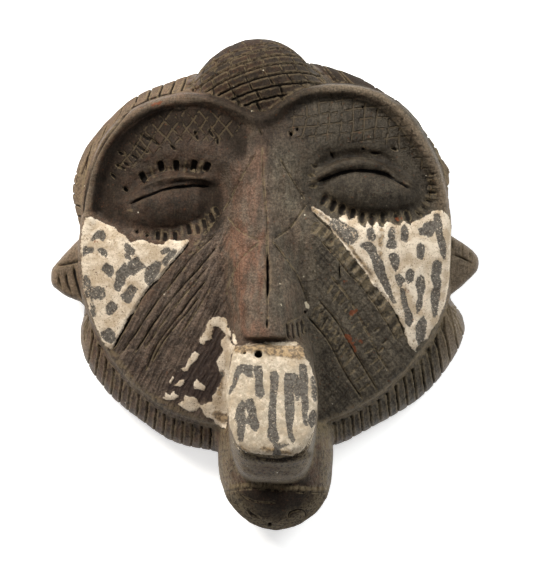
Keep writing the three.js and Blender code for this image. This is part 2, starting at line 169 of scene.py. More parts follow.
# Short slanting stabs beside the left brow's rim and at the foot of the nose
STABS = [
    ((-33.4, 36.4), (-30, 34.1)), ((-34.7, 33.8), (-32.6, 32.5)), ((-36.5, 31.7), (-35, 30.7)),
    ((-38.6, 31.2), (-36, 29.9)), ((-29.8, 38.2), (-27.1, 36.1)), ((-32.2, 39), (-29.6, 37.4)),
    ((-24.4, 36.2), (-22.9, 34.8)), ((-39.9, 28.9), (-38.3, 27.3)), ((-38, 34.6), (-36.4, 33.6)),
    ((-14.6, 40.3), (-13.2, 38.2)), ((-12.3, 38.4), (-12.1, 36.2)), ((-18.2, 40), (-17.2, 37.4)),
    ((6, -9.9), (6.3, -14)), ((7.4, -9.7), (7.7, -14)), ((8.6, -9.5), (9, -13.6)), ((9.6, -9), (10.2, -13)),
    ((27.4, 34), (29.8, 33.8)), ((17, 34.4), (18, 32.6)), ((32.6, 35.4), (34.4, 35)),
]
# Short rungs between two lines of a cheek band
RUNGS = [
    {"from": [(13.6, -4.4), (18.7, -10.4), (22, -16), (28.4, -26.8)], "to": [(11.4, -8.4), (16.3, -14.6), (19.2, -20),
     (25, -28.8)], "count": 13, "half": 0.6, "deep": 0.28},
    {"from": [(17.4, 1.6), (22.4, -5), (27, -13.6), (31.8, -21.8)], "to": [(15.4, -1.6), (20.4, -8.4), (24.2, -15.2),
     (29.4, -24.6)], "count": 11, "half": 0.5, "deep": 0.18},
]
# Small notches along the ledge across the chin
CHIN_NOTCHES = {"from": [(-12, -52.2), (-4, -50.9), (4, -51.5), (17.4, -52.3)],
                "to": [(-12, -54), (-4, -52.7), (4, -53.3), (17.4, -54.1)], "count": 27, "half": 0.42, "deep": 0.35}
# The ledge itself, which stands out a little
CHIN_LEDGE = [(-12.2, -53.2), (-4, -51.8), (4, -52.4), (12.2, -52.9), (17.6, -53.2)]
# The cheeks, whose fibres and scratches run down to the jaw
LEFT_CHEEK = [(-9, 19), (-13, 16), (-21, 8), (-31, -4), (-40, -16), (-38, -28), (-24, -38), (-8, -36), (-9, -10)]
RIGHT_CHEEK = [(11, 19), (17, 14), (26, 3), (35, -9), (40, -18), (38, -30), (26, -38), (14, -36), (14, -12)]
# Two fields of fine scored lines under the brows
DIAMONDS = [
    (-39, 29), (-36, 37), (-29.6, 43.5), (-22, 46.4), (-12, 45.4), (-4.4, 41.6), (-7, 38), (-13, 36.6), (-20, 37),
    (-27, 34.6), (-33, 30),
]
SQUARES = [
    (5.4, 38.4), (6.6, 45.6), (13, 49.4), (20.5, 50.4), (30, 48.4), (39, 43), (45, 35), (47, 26), (46, 19),
    (43, 19.5), (41.6, 27), (38.4, 33), (31, 36), (20, 36.8), (10, 36.4),
]

# Painted shapes are given in points of the picture, which lies square over the mask
PICTURE_MIDDLE = (264.5, 285)
PICTURE_POINT = 0.26
# The inner edges of the rims over both brows, and the corners that close the sunk fields below them
LEFT_RIM = [
    (92, 212), (93, 198), (96, 178), (101, 162), (108, 148), (117, 136), (128, 126), (139, 118), (151, 111),
    (163, 107), (180, 106), (195, 106), (207, 108), (220, 112), (232, 117), (242, 124), (249, 133),
]
LEFT_FIELD = [(247, 160), (222, 175), (222, 215), (170, 235), (120, 228)]
RIGHT_RIM = [
    (279, 122), (286, 110), (300, 99), (320, 94), (345, 94), (368, 99), (384, 108), (398, 121), (410, 136),
    (420, 150), (428, 165), (434, 180), (439, 198),
]
RIGHT_FIELD = [(430, 215), (380, 222), (325, 205), (300, 180), (290, 155)]
# The face's lower edge on both sides, where pale dust has settled
JAWS = [
    [(90, 295), (97, 322), (106, 342), (116, 357), (127, 374), (137, 386), (150, 396), (165, 404), (181, 411),
     (200, 421), (216, 428)],
    [(446, 312), (434, 338), (423, 352), (411, 367), (397, 382), (381, 394), (362, 405), (342, 414), (324, 423)],
]
LEFT_CLAY = [
    (86, 218), (92, 218), (97, 219), (102, 222), (106, 224), (114, 227), (120, 233), (127, 237), (131, 243),
    (137, 240), (143, 240), (150, 243), (158, 245), (163, 245), (167, 242), (170, 240), (176, 241), (184, 240),
    (189, 240), (188, 243), (183, 251), (177, 258), (170, 265), (164, 274), (158, 280), (153, 282), (147, 290),
    (140, 300), (135, 311), (128, 318), (123, 328), (119, 336), (114, 346), (112, 349), (107, 347), (102, 340),
    (96, 326), (91, 315), (88, 303), (84, 290), (83, 275), (82, 260), (81, 245), (83, 230),
]
RIGHT_CLAY = [
    (311, 207), (319, 210), (327, 216), (331, 219), (338, 219), (345, 214), (348, 221), (356, 217), (358, 224),
    (364, 228), (367, 222), (372, 228), (376, 222), (381, 228), (386, 222), (392, 224), (399, 226), (403, 221),
    (409, 225), (413, 221), (420, 219), (428, 215), (432, 211), (441, 211), (447, 215), (450, 222), (452, 240),
    (451, 260), (451, 275), (449, 290), (446, 300), (441, 313), (437, 322), (431, 331), (427, 339), (421, 342),
    (417, 348), (415, 352), (412, 349), (408, 343), (406, 336), (404, 328), (400, 321), (397, 315), (393, 310),
    (388, 302), (383, 296), (377, 289), (371, 284), (369, 278), (364, 271), (357, 263), (351, 255), (345, 248),
    (337, 238), (328, 226), (319, 218), (312, 211),
]
MUZZLE_CLAY = [
    (236, 345), (262, 342), (296, 341), (302, 347), (304, 355), (309, 363), (313, 372), (317, 382), (320, 392),
    (320, 405), (318, 415), (316, 426), (313, 437), (306, 445), (299, 450), (292, 453), (280, 453), (262, 452),
    (248, 450), (240, 448), (235, 443), (230, 438), (227, 425), (225, 412), (226, 398), (228, 385), (227, 365),
    (230, 350),
]
# The clay on the lower left cheek: an arch whose right leg runs into the muzzle, and bits beside it
CRUSTS = [
    [(199, 341), (202, 335), (206, 330), (207, 325), (210, 319), (218, 317), (225, 318), (228, 322), (227, 326),
     (230, 329), (231, 334), (230, 339), (233, 345), (236, 346), (232, 352), (230, 362), (229, 380), (228, 400),
     (228, 420), (226, 428), (222, 427), (215, 424), (214, 420), (210, 418), (205, 417), (203, 412), (200, 407),
     (205, 404), (212, 402), (213, 396), (216, 391), (220, 385), (222, 377), (219, 370), (216, 361), (220, 356),
     (224, 351), (222, 347), (221, 341), (226, 335), (222, 329), (219, 326), (214, 326), (212, 332), (212, 339),
     (206, 341), (204, 345)],
    [(233, 333), (236, 338), (238, 343), (235, 344), (232, 340)],
    [(194, 351), (200, 354), (196, 361), (190, 366), (189, 371), (184, 372), (181, 369), (186, 366), (188, 360)],
    [(174, 386), (180, 380), (187, 380), (184, 383), (181, 387)],
    [(194, 389), (194, 384), (197, 379), (201, 383), (206, 387), (204, 391), (198, 389)],
    [(163, 398), (166, 393), (170, 395), (174, 391), (179, 397), (174, 400), (166, 400)],
    [(184, 401), (185, 395), (191, 397), (197, 398), (198, 403), (202, 406), (196, 411), (189, 411), (182, 408),
     (179, 404)],
    [(169, 382), (173, 376), (174, 378), (171, 383)],
]
# The dark shapes painted on the clay
LEFT_BLOTS = [
    [(92, 241), (96, 235), (99, 232), (104, 232), (106, 237), (103, 241), (100, 238), (96, 239)],
    [(84, 250), (86, 247), (90, 249), (94, 249), (93, 252), (88, 253), (84, 256)],
    [(99, 250), (103, 249), (107, 252), (107, 256), (103, 255), (100, 253)],
    [(126, 245), (129, 245), (132, 249), (135, 251), (134, 255), (130, 254), (127, 252), (126, 249)],
    [(126, 255), (130, 256), (131, 259), (127, 258)],
    [(103, 270), (106, 264), (113, 267), (114, 271), (111, 277), (105, 272)],
    [(115, 285), (118, 278), (117, 273), (122, 268), (125, 263), (128, 268), (129, 273), (130, 275), (126, 278),
     (124, 284), (121, 286), (120, 291), (116, 289)],
    [(129, 263), (134, 261), (138, 258), (140, 262), (146, 267), (141, 269), (137, 272), (133, 275), (128, 273),
     (129, 267)],
    [(146, 275), (148, 269), (153, 265), (157, 262), (161, 264), (160, 270), (157, 275), (153, 281), (150, 285),
     (146, 281)],
    [(163, 262), (166, 258), (170, 253), (174, 250), (177, 252), (174, 256), (170, 259), (166, 266)],
    [(162, 252), (165, 249), (168, 248), (170, 251), (167, 253), (163, 254)],
    [(122, 295), (126, 293), (128, 288), (132, 285), (137, 289), (134, 294), (132, 298), (130, 303), (126, 302),
     (122, 298)],
    [(107, 309), (108, 305), (112, 302), (114, 304), (118, 307), (114, 312), (110, 315), (107, 313)],
    [(102, 333), (106, 331), (109, 328), (112, 331), (115, 334), (115, 339), (112, 343), (108, 341), (103, 338)],
]
RIGHT_STROKES = [
    [(360, 246), (366, 243), (370, 243), (375, 249), (377, 256), (381, 262), (384, 270), (385, 276), (387, 281),
     (389, 285), (390, 290), (391, 295), (395, 303), (393, 303), (387, 294), (382, 285), (378, 278), (374, 270),
     (372, 262), (370, 256), (366, 250)],
    [(388, 241), (391, 239), (395, 243), (395, 248), (390, 249), (386, 247)],
    [(389, 256), (392, 254), (397, 256), (398, 262), (397, 268), (395, 271), (391, 265)],
    [(401, 229), (403, 226), (406, 229), (407, 237), (406, 242), (401, 240)],
    [(427, 237), (426, 229), (430, 222), (435, 222), (434, 229), (431, 236)],
    [(418, 229), (422, 229), (424, 235), (420, 235)],
    [(434, 215), (438, 215), (440, 222), (441, 232), (443, 240), (445, 250), (444, 259), (441, 254), (438, 242),
     (436, 232), (434, 224)],
    [(417, 247), (420, 244), (423, 247), (423, 255), (421, 259), (417, 257)],
    [(395, 277), (398, 274), (401, 277), (404, 281), (401, 283), (400, 287), (397, 283)],
    [(406, 273), (410, 269), (413, 273), (412, 281), (408, 283), (406, 278)],
    [(400, 289), (403, 289), (405, 297), (407, 306), (411, 314), (412, 321), (409, 326), (406, 323), (405, 314),
     (402, 303)],
    [(417, 279), (420, 276), (423, 278), (424, 288), (421, 297), (421, 305), (417, 313), (416, 306), (418, 296),
     (416, 285)],
    [(433, 264), (436, 261), (440, 263), (440, 271), (438, 277), (440, 282), (439, 290), (438, 300), (437, 307),
     (436, 314), (434, 317), (432, 307), (431, 296), (434, 288), (431, 277)],
    [(416, 327), (419, 321), (423, 317), (425, 321), (425, 327), (424, 334), (423, 341), (419, 344), (416, 337)],
]
MUZZLE_STROKES = [
    [(230, 392), (233, 382), (236, 372), (239, 365), (243, 364), (252, 365), (252, 376), (247, 374), (242, 370),
     (238, 376), (235, 385)],
    [(255, 366), (261, 366), (262, 374), (262, 384), (264, 392), (261, 396), (257, 394), (256, 385), (256, 378)],
    [(237, 412), (239, 405), (243, 399), (245, 404), (244, 411), (245, 417), (248, 418), (250, 412), (246, 405),
     (247, 399), (252, 398), (255, 406), (256, 414), (259, 424), (256, 429), (252, 426), (250, 422), (245, 421),
     (244, 430), (243, 438), (240, 438), (238, 430), (239, 423), (236, 417)],
    [(271, 372), (275, 370), (278, 375), (277, 384), (276, 393), (275, 403), (275, 413), (275, 420), (276, 428),
     (278, 436), (276, 441), (272, 440), (268, 434), (268, 429), (270, 423), (269, 412), (270, 400), (271, 388)],
    [(285, 373), (290, 373), (296, 373), (299, 380), (299, 392), (297, 399), (295, 392), (294, 384), (293, 380),
     (292, 390), (293, 400), (293, 412), (291, 424), (291, 430), (294, 438), (292, 440), (288, 433), (287, 424),
     (286, 412), (285, 400), (285, 388)],
    [(299, 364), (304, 364), (306, 372), (307, 382), (306, 395), (307, 405), (305, 414), (306, 423), (304, 422),
     (302, 412), (302, 400), (301, 390), (300, 378)],
    [(308, 415), (312, 409), (316, 413), (315, 420), (311, 425), (308, 420)],
    [(274, 449), (276, 444), (280, 450), (279, 454), (273, 454)],
]
# Places where the dark strokes are thin and speckled
SPECKLED = [
    ((335, 224), (350, 237), 12, 16), ((370, 232), (371, 238), 9, 9), ((391, 231), (391, 237), 7, 7),
    ((313, 378), (315, 396), 6, 8), ((91, 293), (100, 293), 12, 13), ((87, 277), (87, 284), 7, 8),
    ((93, 306), (94, 315), 5, 5), ((427, 226), (424, 232), 9, 9), ((353, 232), (356, 238), 8, 6),
    ((220, 375), (212, 390), 8, 8),
]
# Single crumbs of clay that cling to the nose, the brows and the crown
CRUMBS = [
    ((279, 274), (279, 275), 2, 2), ((280, 282), (280, 284), 2.5, 2), ((281, 304), (281, 305), 2.5, 2),
    ((305, 303), (308, 307), 3, 4), ((303, 276), (304, 277), 1.5, 1.5), ((299, 240), (300, 241), 1.5, 1.5),
    ((337, 93), (337, 94), 2.5, 2.5), ((283, 49), (283, 50), 2.5, 2.5), ((263, 42), (263, 43), 1.5, 1.5),
    ((391, 159), (392, 160), 2, 2), ((314, 271), (315, 272), 2, 2), ((316, 245), (316, 246), 2, 2),
    ((386, 206), (387, 206), 2, 2), ((300, 199), (301, 199), 1.5, 1.5), ((233, 334), (235, 336), 2, 2),
    ((189, 346), (190, 347), 2, 2), ((252, 112), (252, 113), 1.5, 1.5), ((240, 222), (240, 223), 1.5, 1.5),
]
# A dark stain between the crusts, brown dirt on the clay, and flecks of red on both cheeks
STAIN = [(199, 343), (216, 326), (224, 336), (220, 352), (222, 380), (212, 400), (190, 400), (164, 389), (180, 368)]
BROWNED = [
    ((238, 349), (268, 346), 8, 8), ((268, 350), (298, 352), 9, 14), ((222, 372), (219, 396), 4, 4),
    ((216, 414), (224, 418), 8, 11), ((381, 230), (379, 242), 5, 5), ((380, 242), (380, 256), 4, 3),
    ((328, 223), (338, 234), 2.5, 3), ((338, 234), (345, 242), 3, 3), ((345, 242), (352, 249), 3, 3),
    ((352, 249), (358, 258), 3, 3.5), ((358, 258), (366, 268), 3.5, 3.5), ((366, 268), (376, 281), 3.5, 2),
    ((311, 209), (328, 220), 4, 3), ((394, 222), (396, 223), 5, 5), ((262, 446), (290, 450), 4, 4),
    ((230, 440), (248, 449), 3, 3), ((425, 246), (427, 250), 2, 2), ((405, 290), (407, 292), 3, 3),
]
RED_FLECKS = [
    ((351, 313), (355, 311), 5, 4), ((347, 336), (353, 345), 5, 3), ((356, 340), (361, 342), 3, 2),
    ((353, 345), (355, 351), 3, 2), ((344, 279), (345, 283), 2.5, 3), ((95, 243), (97, 242), 3, 3),
    ((127, 268), (128, 270), 2.5, 2.5), ((396, 220), (400, 219), 3, 2.5), ((320, 384), (322, 385), 2, 2),
    ((153, 106), (163, 103), 2.5, 2), ((413, 320), (413, 321), 1.5, 1.5), ((157, 267), (158, 268), 2, 2),
    ((406, 290), (407, 292), 2.5, 2.5), ((427, 247), (427, 249), 2, 2),
]

# Dark places, each a middle, half widths and how dark: painted shade in the eye sockets, the eyes' inner corners,
# between the brows and under the muzzle's lip, and darker wood on the crown, neck and chin
SHADED_AND_DARK_PLACES = [
    ((-25, 27), (20, 15), 0.65), ((27, 28), (20, 13), 0.6), ((-14, 21), (4.5, 10), 1.0), ((-1, 54), (20, 16), 0.9),
    ((3, -60), (24, 11), 1.0), ((3, -43.6), (12, 2.6), 1.0), ((12, 23), (3, 5), 0.6), ((3, -47), (22, 7), 0.25),
    ((-1, 40), (7, 5), 0.6),
]
# Where the band behind the right brow's rim is darker and redder wood, and how strongly painted shade darkens the
# sunk fields below the brow rims
BEHIND_RIGHT_RIM = (22, 53), (26, 13)
BROW_SHADE = 0.55

# The chisel's cuts: in the band, on the crown, in the wall behind the right brow, and the short stabs
GOUGE = {"half": 0.36, "deep": 0.55, "lip": 0.1}
CROWN_CUT = {"half": 0.36, "deep": 0.7, "gap": 4.2}
WALL_CUTS = {"radius": 50, "gap": 3, "deep": 0.5}
STAB_CUT = {"half": 0.5, "deep": 0.75, "taper": 0.8}
# How far the strands of the band stand out
BAND_SWELL = 0.28
# How thick the clay lies, how far the dark strokes spread on it, and how far they sink into it
CLAY_THICKNESS = 0.2
STROKE_SPREAD = 0.28
STROKE_DIP = 0.08
# Added to a painted shape's depth where paint can't lie, so that no broken edge reaches there
OFF_THE_FACE = -20.0

# Rounds of smoothing: for the solid's facets, for the finest bulges, and for hollows some millimetres wide
SOFTEN_ROUNDS = 22
BULGE_ROUNDS = 6
HOLLOW_ROUNDS = 40
# Share of the hollow back's triangles that the first thinning takes away
THINNED_BEHIND = 0.85


def smoothstep(low, high, value):
    share = np.clip((value - low) / (high - low), 0, 1)
    return share * share * (3 - 2 * share)


def wander(places, size, seed):
    """Smooth noise from -1 to 1 at each place, changing over about size millimetres."""
    cells = 64
    lattice = np.random.default_rng(seed).uniform(-1, 1, (cells, cells, cells))
    at = places / size + 500
    corner = np.floor(at).astype(np.int64)
    share = at - corner
    share = share * share * (3 - 2 * share)
    total = np.zeros(len(places))
    for step in np.ndindex(2, 2, 2):
        weight = np.prod(np.where(step, share, 1 - share), axis=1)
        cell = (corner + step) % cells
        total += weight * lattice[cell[:, 0], cell[:, 1], cell[:, 2]]
    return total


def places_of(mesh):
    places = np.empty(len(mesh.vertices) * 3)
    mesh.vertices.foreach_get("co", places)
    return places.reshape(-1, 3) / MM


def normals_of(mesh):
    normals = np.empty(len(mesh.vertices) * 3)
    mesh.vertices.foreach_get("normal", normals)
    return normals.reshape(-1, 3)


def move_to(mesh, places):
    mesh.vertices.foreach_set("co", (places * MM).ravel())
    mesh.update()


def keep_inside(mesh, places):
    """Moves the mesh to new places, none of them outside the solid's box."""
    low, high = (np.array(corner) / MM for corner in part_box("mask"))
    move_to(mesh, np.clip(places, low, high))


def smooth_line(points, steps=5):
    """More points along a line, rounded through the ones given."""
    points = np.array(points, float)
    if len(points) < 3:
        return points
    ends = np.vstack([2 * points[0] - points[1], points, 2 * points[-1] - points[-2]])
    made = []
    for a, b, c, d in zip(ends, ends[1:], ends[2:], ends[3:]):
        for t in np.arange(steps) / steps:
            made.append(0.5 * (2 * b + (c - a) * t + (2 * a - 5 * b + 4 * c - d) * t**2
                               + (3 * b - a - 3 * c + d) * t**3))
    return np.vstack([made, points[-1]])


def along_line(plan, points, reach):
    """For the places near a line in plan: which they are, how far off they lie, and how far along it."""
    points = np.array(points, float)
    near = np.all((plan > points.min(axis=0) - reach) & (plan < points.max(axis=0) + reach), axis=1)
    where = np.flatnonzero(near)
    close = plan[where]
    off = np.full(len(where), float(reach))
    along = np.zeros(len(where))
    run = 0.0
    for a, b in zip(points, points[1:]):
        way = b - a
        length = max(np.linalg.norm(way), 1e-6)
        share = np.clip(((close - a) @ way) / length**2, 0, 1)
        gap = np.linalg.norm(close - a - share[:, None] * way, axis=1)
        nearer = gap < off
        off[nearer] = gap[nearer]
        along[nearer] = run + share[nearer] * length
        run += length
    return where, off, along, run


def distance_to_line(plan, points, reach):
    """Each place's distance in plan to a line, or reach where it is farther than that."""
    distance = np.full(len(plan), float(reach))
    where, off, _, _ = along_line(plan, points, reach)
    distance[where] = off
    return distance


def from_picture(points):
    """Points of the picture as places on the mask."""
    points = np.array(points, float)
    return (points - PICTURE_MIDDLE) * (PICTURE_POINT, -PICTURE_POINT)


def depth_inside(plan, corners, reach=8.0):
    """Distance in plan to the edge of an area, above zero inside it."""
    corners = np.array(corners, float)
    closed = np.vstack([corners, corners[:1]])
    low, high = corners.min(axis=0) - reach, corners.max(axis=0) + reach
    near = np.flatnonzero(np.all((plan > low) & (plan < high), axis=1))
    close = plan[near]
    inside = np.zeros(len(near), bool)
    for a, b in zip(closed, closed[1:]):
        across = (a[1] > close[:, 1]) != (b[1] > close[:, 1])
        rise = np.where(b[1] == a[1], 1e-9, b[1] - a[1])
        inside ^= across & (close[:, 0] < (b[0] - a[0]) * (close[:, 1] - a[1]) / rise + a[0])
    distance = distance_to_line(close, closed, reach)
    best = np.full(len(plan), -reach)
    best[near] = np.where(inside, distance, -distance)
    return best


def depth_in_shapes(plan, shapes):
    """The same for the nearest of several painted shapes."""
    best = np.full(len(plan), -2.0)
    for corners in shapes:
        best = np.maximum(best, depth_inside(plan, from_picture(corners), 2.0))
    return best


def depth_in_strokes(plan, strokes):
    """The same for a set of brush strokes with round ends."""
    best = np.full(len(plan), -8.0)
    for start, end, first, last in strokes:
        a, b = from_picture([start, end])
        first, last = first * PICTURE_POINT / 2, last * PICTURE_POINT / 2
        near = np.flatnonzero(np.all(np.abs(plan - (a + b) / 2) < np.abs(b - a) / 2 + 6, axis=1))
        share = np.clip(((plan[near] - a) @ (b - a)) / ((b - a) @ (b - a)), 0, 1)
        gap = np.linalg.norm(plan[near] - a - share[:, None] * (b - a), axis=1)
        best[near] = np.maximum(best[near], first + (last - first) * share - gap)
    return best


def spot(plan, middle, half):
    """1 in the middle of an oval place and 0 past its edge."""
    return smoothstep(1.1, 0.6, np.linalg.norm((plan - np.array(middle)) / np.array(half), axis=1))


def groove(distance, half, deep):
    """Depth of a chisel's cut with sloping sides at a distance from its middle."""
    return deep * np.clip(1 - (distance / half) ** 2, 0, 1) ** 1.2


def cut_pit(depth, plan, middle, way, half, deep):
    """Deepens a pit with four steep walls: way runs from its middle to one end."""
    where = np.flatnonzero(np.all(np.abs(plan - middle) < 4, axis=1))
    long = np.linalg.norm(way)
    along = np.abs((plan[where] - middle) @ way) / long**2
    across = np.abs((plan[where] - middle) @ (way[1], -way[0])) / (long * half)
    reach = (along**4 + across**4) ** 0.25
    depth[where] = np.maximum(depth[where], deep * smoothstep(1.1, 0.55, reach))


def cut_line(depth, plan, points, half, deep, taper=1.6):
    """Deepens a cut along a line, which runs out to a point at both ends."""
    where, off, along, length = along_line(plan, points, half + 0.5)
    taper = min(taper, length / 2.5)
    fade = 0.35 + 0.65 * smoothstep(-0.3 * taper, taper, np.minimum(along, length - along))
    depth[where] = np.maximum(depth[where], groove(off, half * fade, deep * fade))


def apply_modifiers(piece):
    old = piece.data
    shaped = piece.evaluated_get(bpy.context.evaluated_depsgraph_get())
    piece.data = bpy.data.meshes.new_from_object(shaped)
    piece.modifiers.clear()
    bpy.data.meshes.remove(old)


def gouge_bottoms(shape):
    """Places along the solid's inner corners, which are the bottoms of its gouges."""
    places = []
    for edge in shape.edges:
        if not edge.is_manifold or edge.calc_face_angle_signed() > -0.3:
            continue
        a, b = (v.co / MM for v in edge.verts)
        if min(f.normal.z for f in edge.link_faces) < -0.2:
            continue
        steps = max(1, round((b - a).length / 0.3))
        places.extend(a.lerp(b, i / steps) for i in range(steps))
    return np.array(places)


def carving_block():
    """The solid's surface as one closed mesh of small even faces, and the bottoms of its gouges."""
    shape = bmesh.new()
    shape.from_mesh(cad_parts["mask"].data)
    bmesh.ops.remove_doubles(shape, verts=shape.verts, dist=0.002 * MM)
    bottoms = gouge_bottoms(shape)
    mesh = bpy.data.meshes.new("carved_mask")
    shape.to_mesh(mesh)
    shape.free()
    piece = bpy.data.objects.new("carved_mask", mesh)
    bpy.context.collection.objects.link(piece)
    even = piece.modifiers.new("even", "REMESH")
    even.mode = "VOXEL"
    even.voxel_size = GRAIN_OF_MESH * MM
    apply_modifiers(piece)
    return piece, bottoms


def band_share(places):
    """1 on the hair and beard band and 0 on the face, chin, crown and ears."""
    x, y, z = places.T
    below_face = smoothstep(0.6, 1.8, EDGE_HEIGHT + EDGE_SLOPE * y - z)
    on_chin = smoothstep(0, 1.5, x - CHIN["x"][0]) * smoothstep(0, 1.5, CHIN["x"][1] - x)
    on_chin *= smoothstep(0, 2, CHIN["top"] - y)
    on_ear = smoothstep(0, 1, np.abs(x) - EAR["x"]) * smoothstep(0, 1, y - EAR["y"][0])
    on_ear *= smoothstep(0, 1, EAR["y"][1] - y)
    return below_face * (1 - on_chin) * (1 - on_ear) * (1 - crown_share(places)) * (1 - brow_share(places))


def brow_share(places):
    """1 in the two sunk fields below the rims over the brows."""
    share = np.zeros(len(places))
    for edge, field in ((LEFT_RIM, LEFT_FIELD), (RIGHT_RIM, RIGHT_FIELD)):
        share = np.maximum(share, smoothstep(-0.4, 0.5, depth_inside(places[:, :2], from_picture(edge + field), 3)))
    return share * smoothstep(12, 14, places[:, 2])


def crown_places(places):
    """Each place as a direction from the crown's middle, in the crown's own turned axes."""
    up = (places[:, 1] - CROWN["at"][1]) / CROWN["half"][1]
    x = places[:, 0] - CROWN["at"][0] - CROWN_SKEW["lean"] * (up - 1)
    skirt = np.where(x > 0, CROWN_SKEW["skirt"] * (1 - smoothstep(0, 0.5, up)), 0)
    x /= 1 + CROWN_SKEW["spread"] * (1 - up**2) + skirt
    z = places[:, 2] - CROWN["at"][2] - CROWN_SKEW["nod"] * up
    unit = np.column_stack([x / CROWN["half"][0], up, z / CROWN["half"][2]])
    cos, sin = math.cos(CROWN["turn"]), math.sin(CROWN["turn"])
    turned = unit @ np.array([[cos, -sin, 0], [sin, cos, 0], [0, 0, 1]])
    cos, sin = math.cos(CROWN["tip"]), math.sin(CROWN["tip"])
    return turned @ np.array([[1, 0, 0], [0, cos, -sin], [0, sin, cos]])


def crown_share(places):
    reach = np.linalg.norm(crown_places(places), axis=1)
    return smoothstep(1.12, 1.04, reach) * smoothstep(43, 46, places[:, 1])


def tree_of(places):
    """A search tree that finds the nearest of these places."""
    tree = KDTree(len(places))
    for i, place in enumerate(places):
        tree.insert(place, i)
    tree.balance()
    return tree


def corner_sums(mesh):
    """What smoothing needs: both ends of every edge, and how many edges meet at each place."""
    edges = np.empty(len(mesh.edges) * 2, np.int32)
    mesh.edges.foreach_get("vertices", edges)
    a, b = edges.reshape(-1, 2).T
    count = np.bincount(a, minlength=len(mesh.vertices)) + np.bincount(b, minlength=len(mesh.vertices))
    return a, b, count


def neighbours_mean(values, a, b, count):
    columns = [np.bincount(a, v[b], len(count)) + np.bincount(b, v[a], len(count)) for v in values.T]
    return np.column_stack(columns) / count[:, None]


def at_this_grain(rounds):
    """As many rounds of smoothing as reach equally far on a coarser mesh."""
    return round(rounds * (FINEST_GRAIN / GRAIN_OF_MESH) ** 2)


def soften(piece, bottoms):
    """Takes the solid's flat facets off, and its gouges, which are cut anew. Returns the moved bottoms."""
    mesh = piece.data
    a, b, count = corner_sums(mesh)
    start = places_of(mesh)
    places = start.copy()
    bend = np.linalg.norm(neighbours_mean(places, a, b, count) - places, axis=1) / GRAIN_OF_MESH
    bend = neighbours_mean(bend[:, None], a, b, count)[:, 0]
    loose = 1 - 0.85 * smoothstep(0.07, 0.2, bend)
    band = band_share(start)
    loose = np.maximum(np.maximum(loose, band), 0.8 * crown_share(start))
    rounds = at_this_grain(SOFTEN_ROUNDS)
    for _ in range(rounds):
        places += 0.5 * loose[:, None] * (neighbours_mean(places, a, b, count) - places)
    for _ in range(rounds):
        places += 0.5 * band[:, None] * (neighbours_mean(places, a, b, count) - places)
    places[:, 2] = np.maximum(places[:, 2], 0)
    move_to(mesh, places)
    places += (BAND_SWELL * band * smoothstep(1, 4, start[:, 2]))[:, None] * normals_of(mesh)
    move_to(mesh, places)
    tree = tree_of(start)
    nearest = [tree.find(place)[1] for place in bottoms]
    return bottoms + (places - start)[nearest]


def finer(piece):
    detail = piece.modifiers.new("finer", "SUBSURF")
    detail.levels = detail.render_levels = FINE_STEPS
    apply_modifiers(piece)


def lash_way(row, middle):
    """From a lash pit's middle to its outer end, away from the eye."""
    way = middle - np.array(row["eye"], float)
    return way * (row["long"] / 2 / np.linalg.norm(way))


def cut_lashes(depth, plan):
    for row in LASHES:
        for middle in np.array(row["at"], float):
            way = lash_way(row, middle)
            if row["square"]:
                cut_pit(depth, plan, middle, way, row["half"], row["deep"])
            else:
                cut_line(depth, plan, [middle - way, middle + way], row["half"], row["deep"], 0.9)


def cut_marks(depth, plan, marks):
    """Short marks side by side, all cut in one direction."""
    uneven = np.random.default_rng(SEED + 2)
    way = np.array(marks["way"]) * marks["long"] / 2
    for middle in from_picture(marks["at"]):
        deep = marks["deep"] * uneven.uniform(0.7, 1.15)
        cut_line(depth, plan, [middle - way, middle + way], marks["half"], deep, 0.7)


def ridges_between():
    """Pale ridges left standing between the lash pits and between the cells, as lines in plan."""
    way = np.array(CELLS["way"]) * CELLS["long"] / 2
    middles = from_picture(CELLS["at"])
    lines = [[middle - way, middle + way] for middle in (middles[1:] + middles[:-1]) / 2]
    for row in LASHES:
        middles = np.array(row["at"], float)
        for middle in (middles[1:] + middles[:-1]) / 2:
            way = lash_way(row, middle)
            lines.append([middle - way, middle + way])
    return lines


def cut_rungs(depth, plan):
    uneven = np.random.default_rng(SEED)
    for band in RUNGS + [CHIN_NOTCHES]:
        upper, lower = smooth_line(band["from"], 8), smooth_line(band["to"], 8)
        for share in (np.arange(band["count"]) + 0.5) / band["count"]:
            at = min(share * (len(upper) - 1) + uneven.uniform(-0.15, 0.15), len(upper) - 1.001)
            ends = [line[int(at)] + (line[int(at) + 1] - line[int(at)]) * (at % 1) for line in (upper, lower)]
            cut_line(depth, plan, ends, band["half"], band["deep"] * uneven.uniform(0.7, 1.2), 1.2)


def crown_cuts(places):
    """Cuts across the rows of the crown, staggered from row to row."""
    share = crown_share(places)
    where = np.flatnonzero(share > 0)
    lathe = crown_places(places[where])
    lathe /= np.linalg.norm(lathe, axis=1)[:, None]
    down = np.arccos(np.clip(-lathe[:, 1], -1, 1))
    row = down / math.pi * CROWN["rows"]
    radius = np.sin(down) * CROWN["half"][1]
    turn = np.arctan2(lathe[:, 0], lathe[:, 2])
    offset = np.random.default_rng(SEED).uniform(0, 1, CROWN["rows"] + 1)[np.floor(row).astype(int)]
    steps = np.maximum(1, np.round(2 * math.pi * np.sin(math.pi * (np.floor(row) + 0.5) / CROWN["rows"])
                                   * CROWN["half"][1] / CROWN_CUT["gap"]))
    at = turn / (2 * math.pi) * steps + offset
    along = (at - np.round(at)) / steps * 2 * math.pi * radius
    depth = np.zeros(len(places))
    depth[where] = groove(along, CROWN_CUT["half"], CROWN_CUT["deep"] * 0.8) * share[where]
    return depth


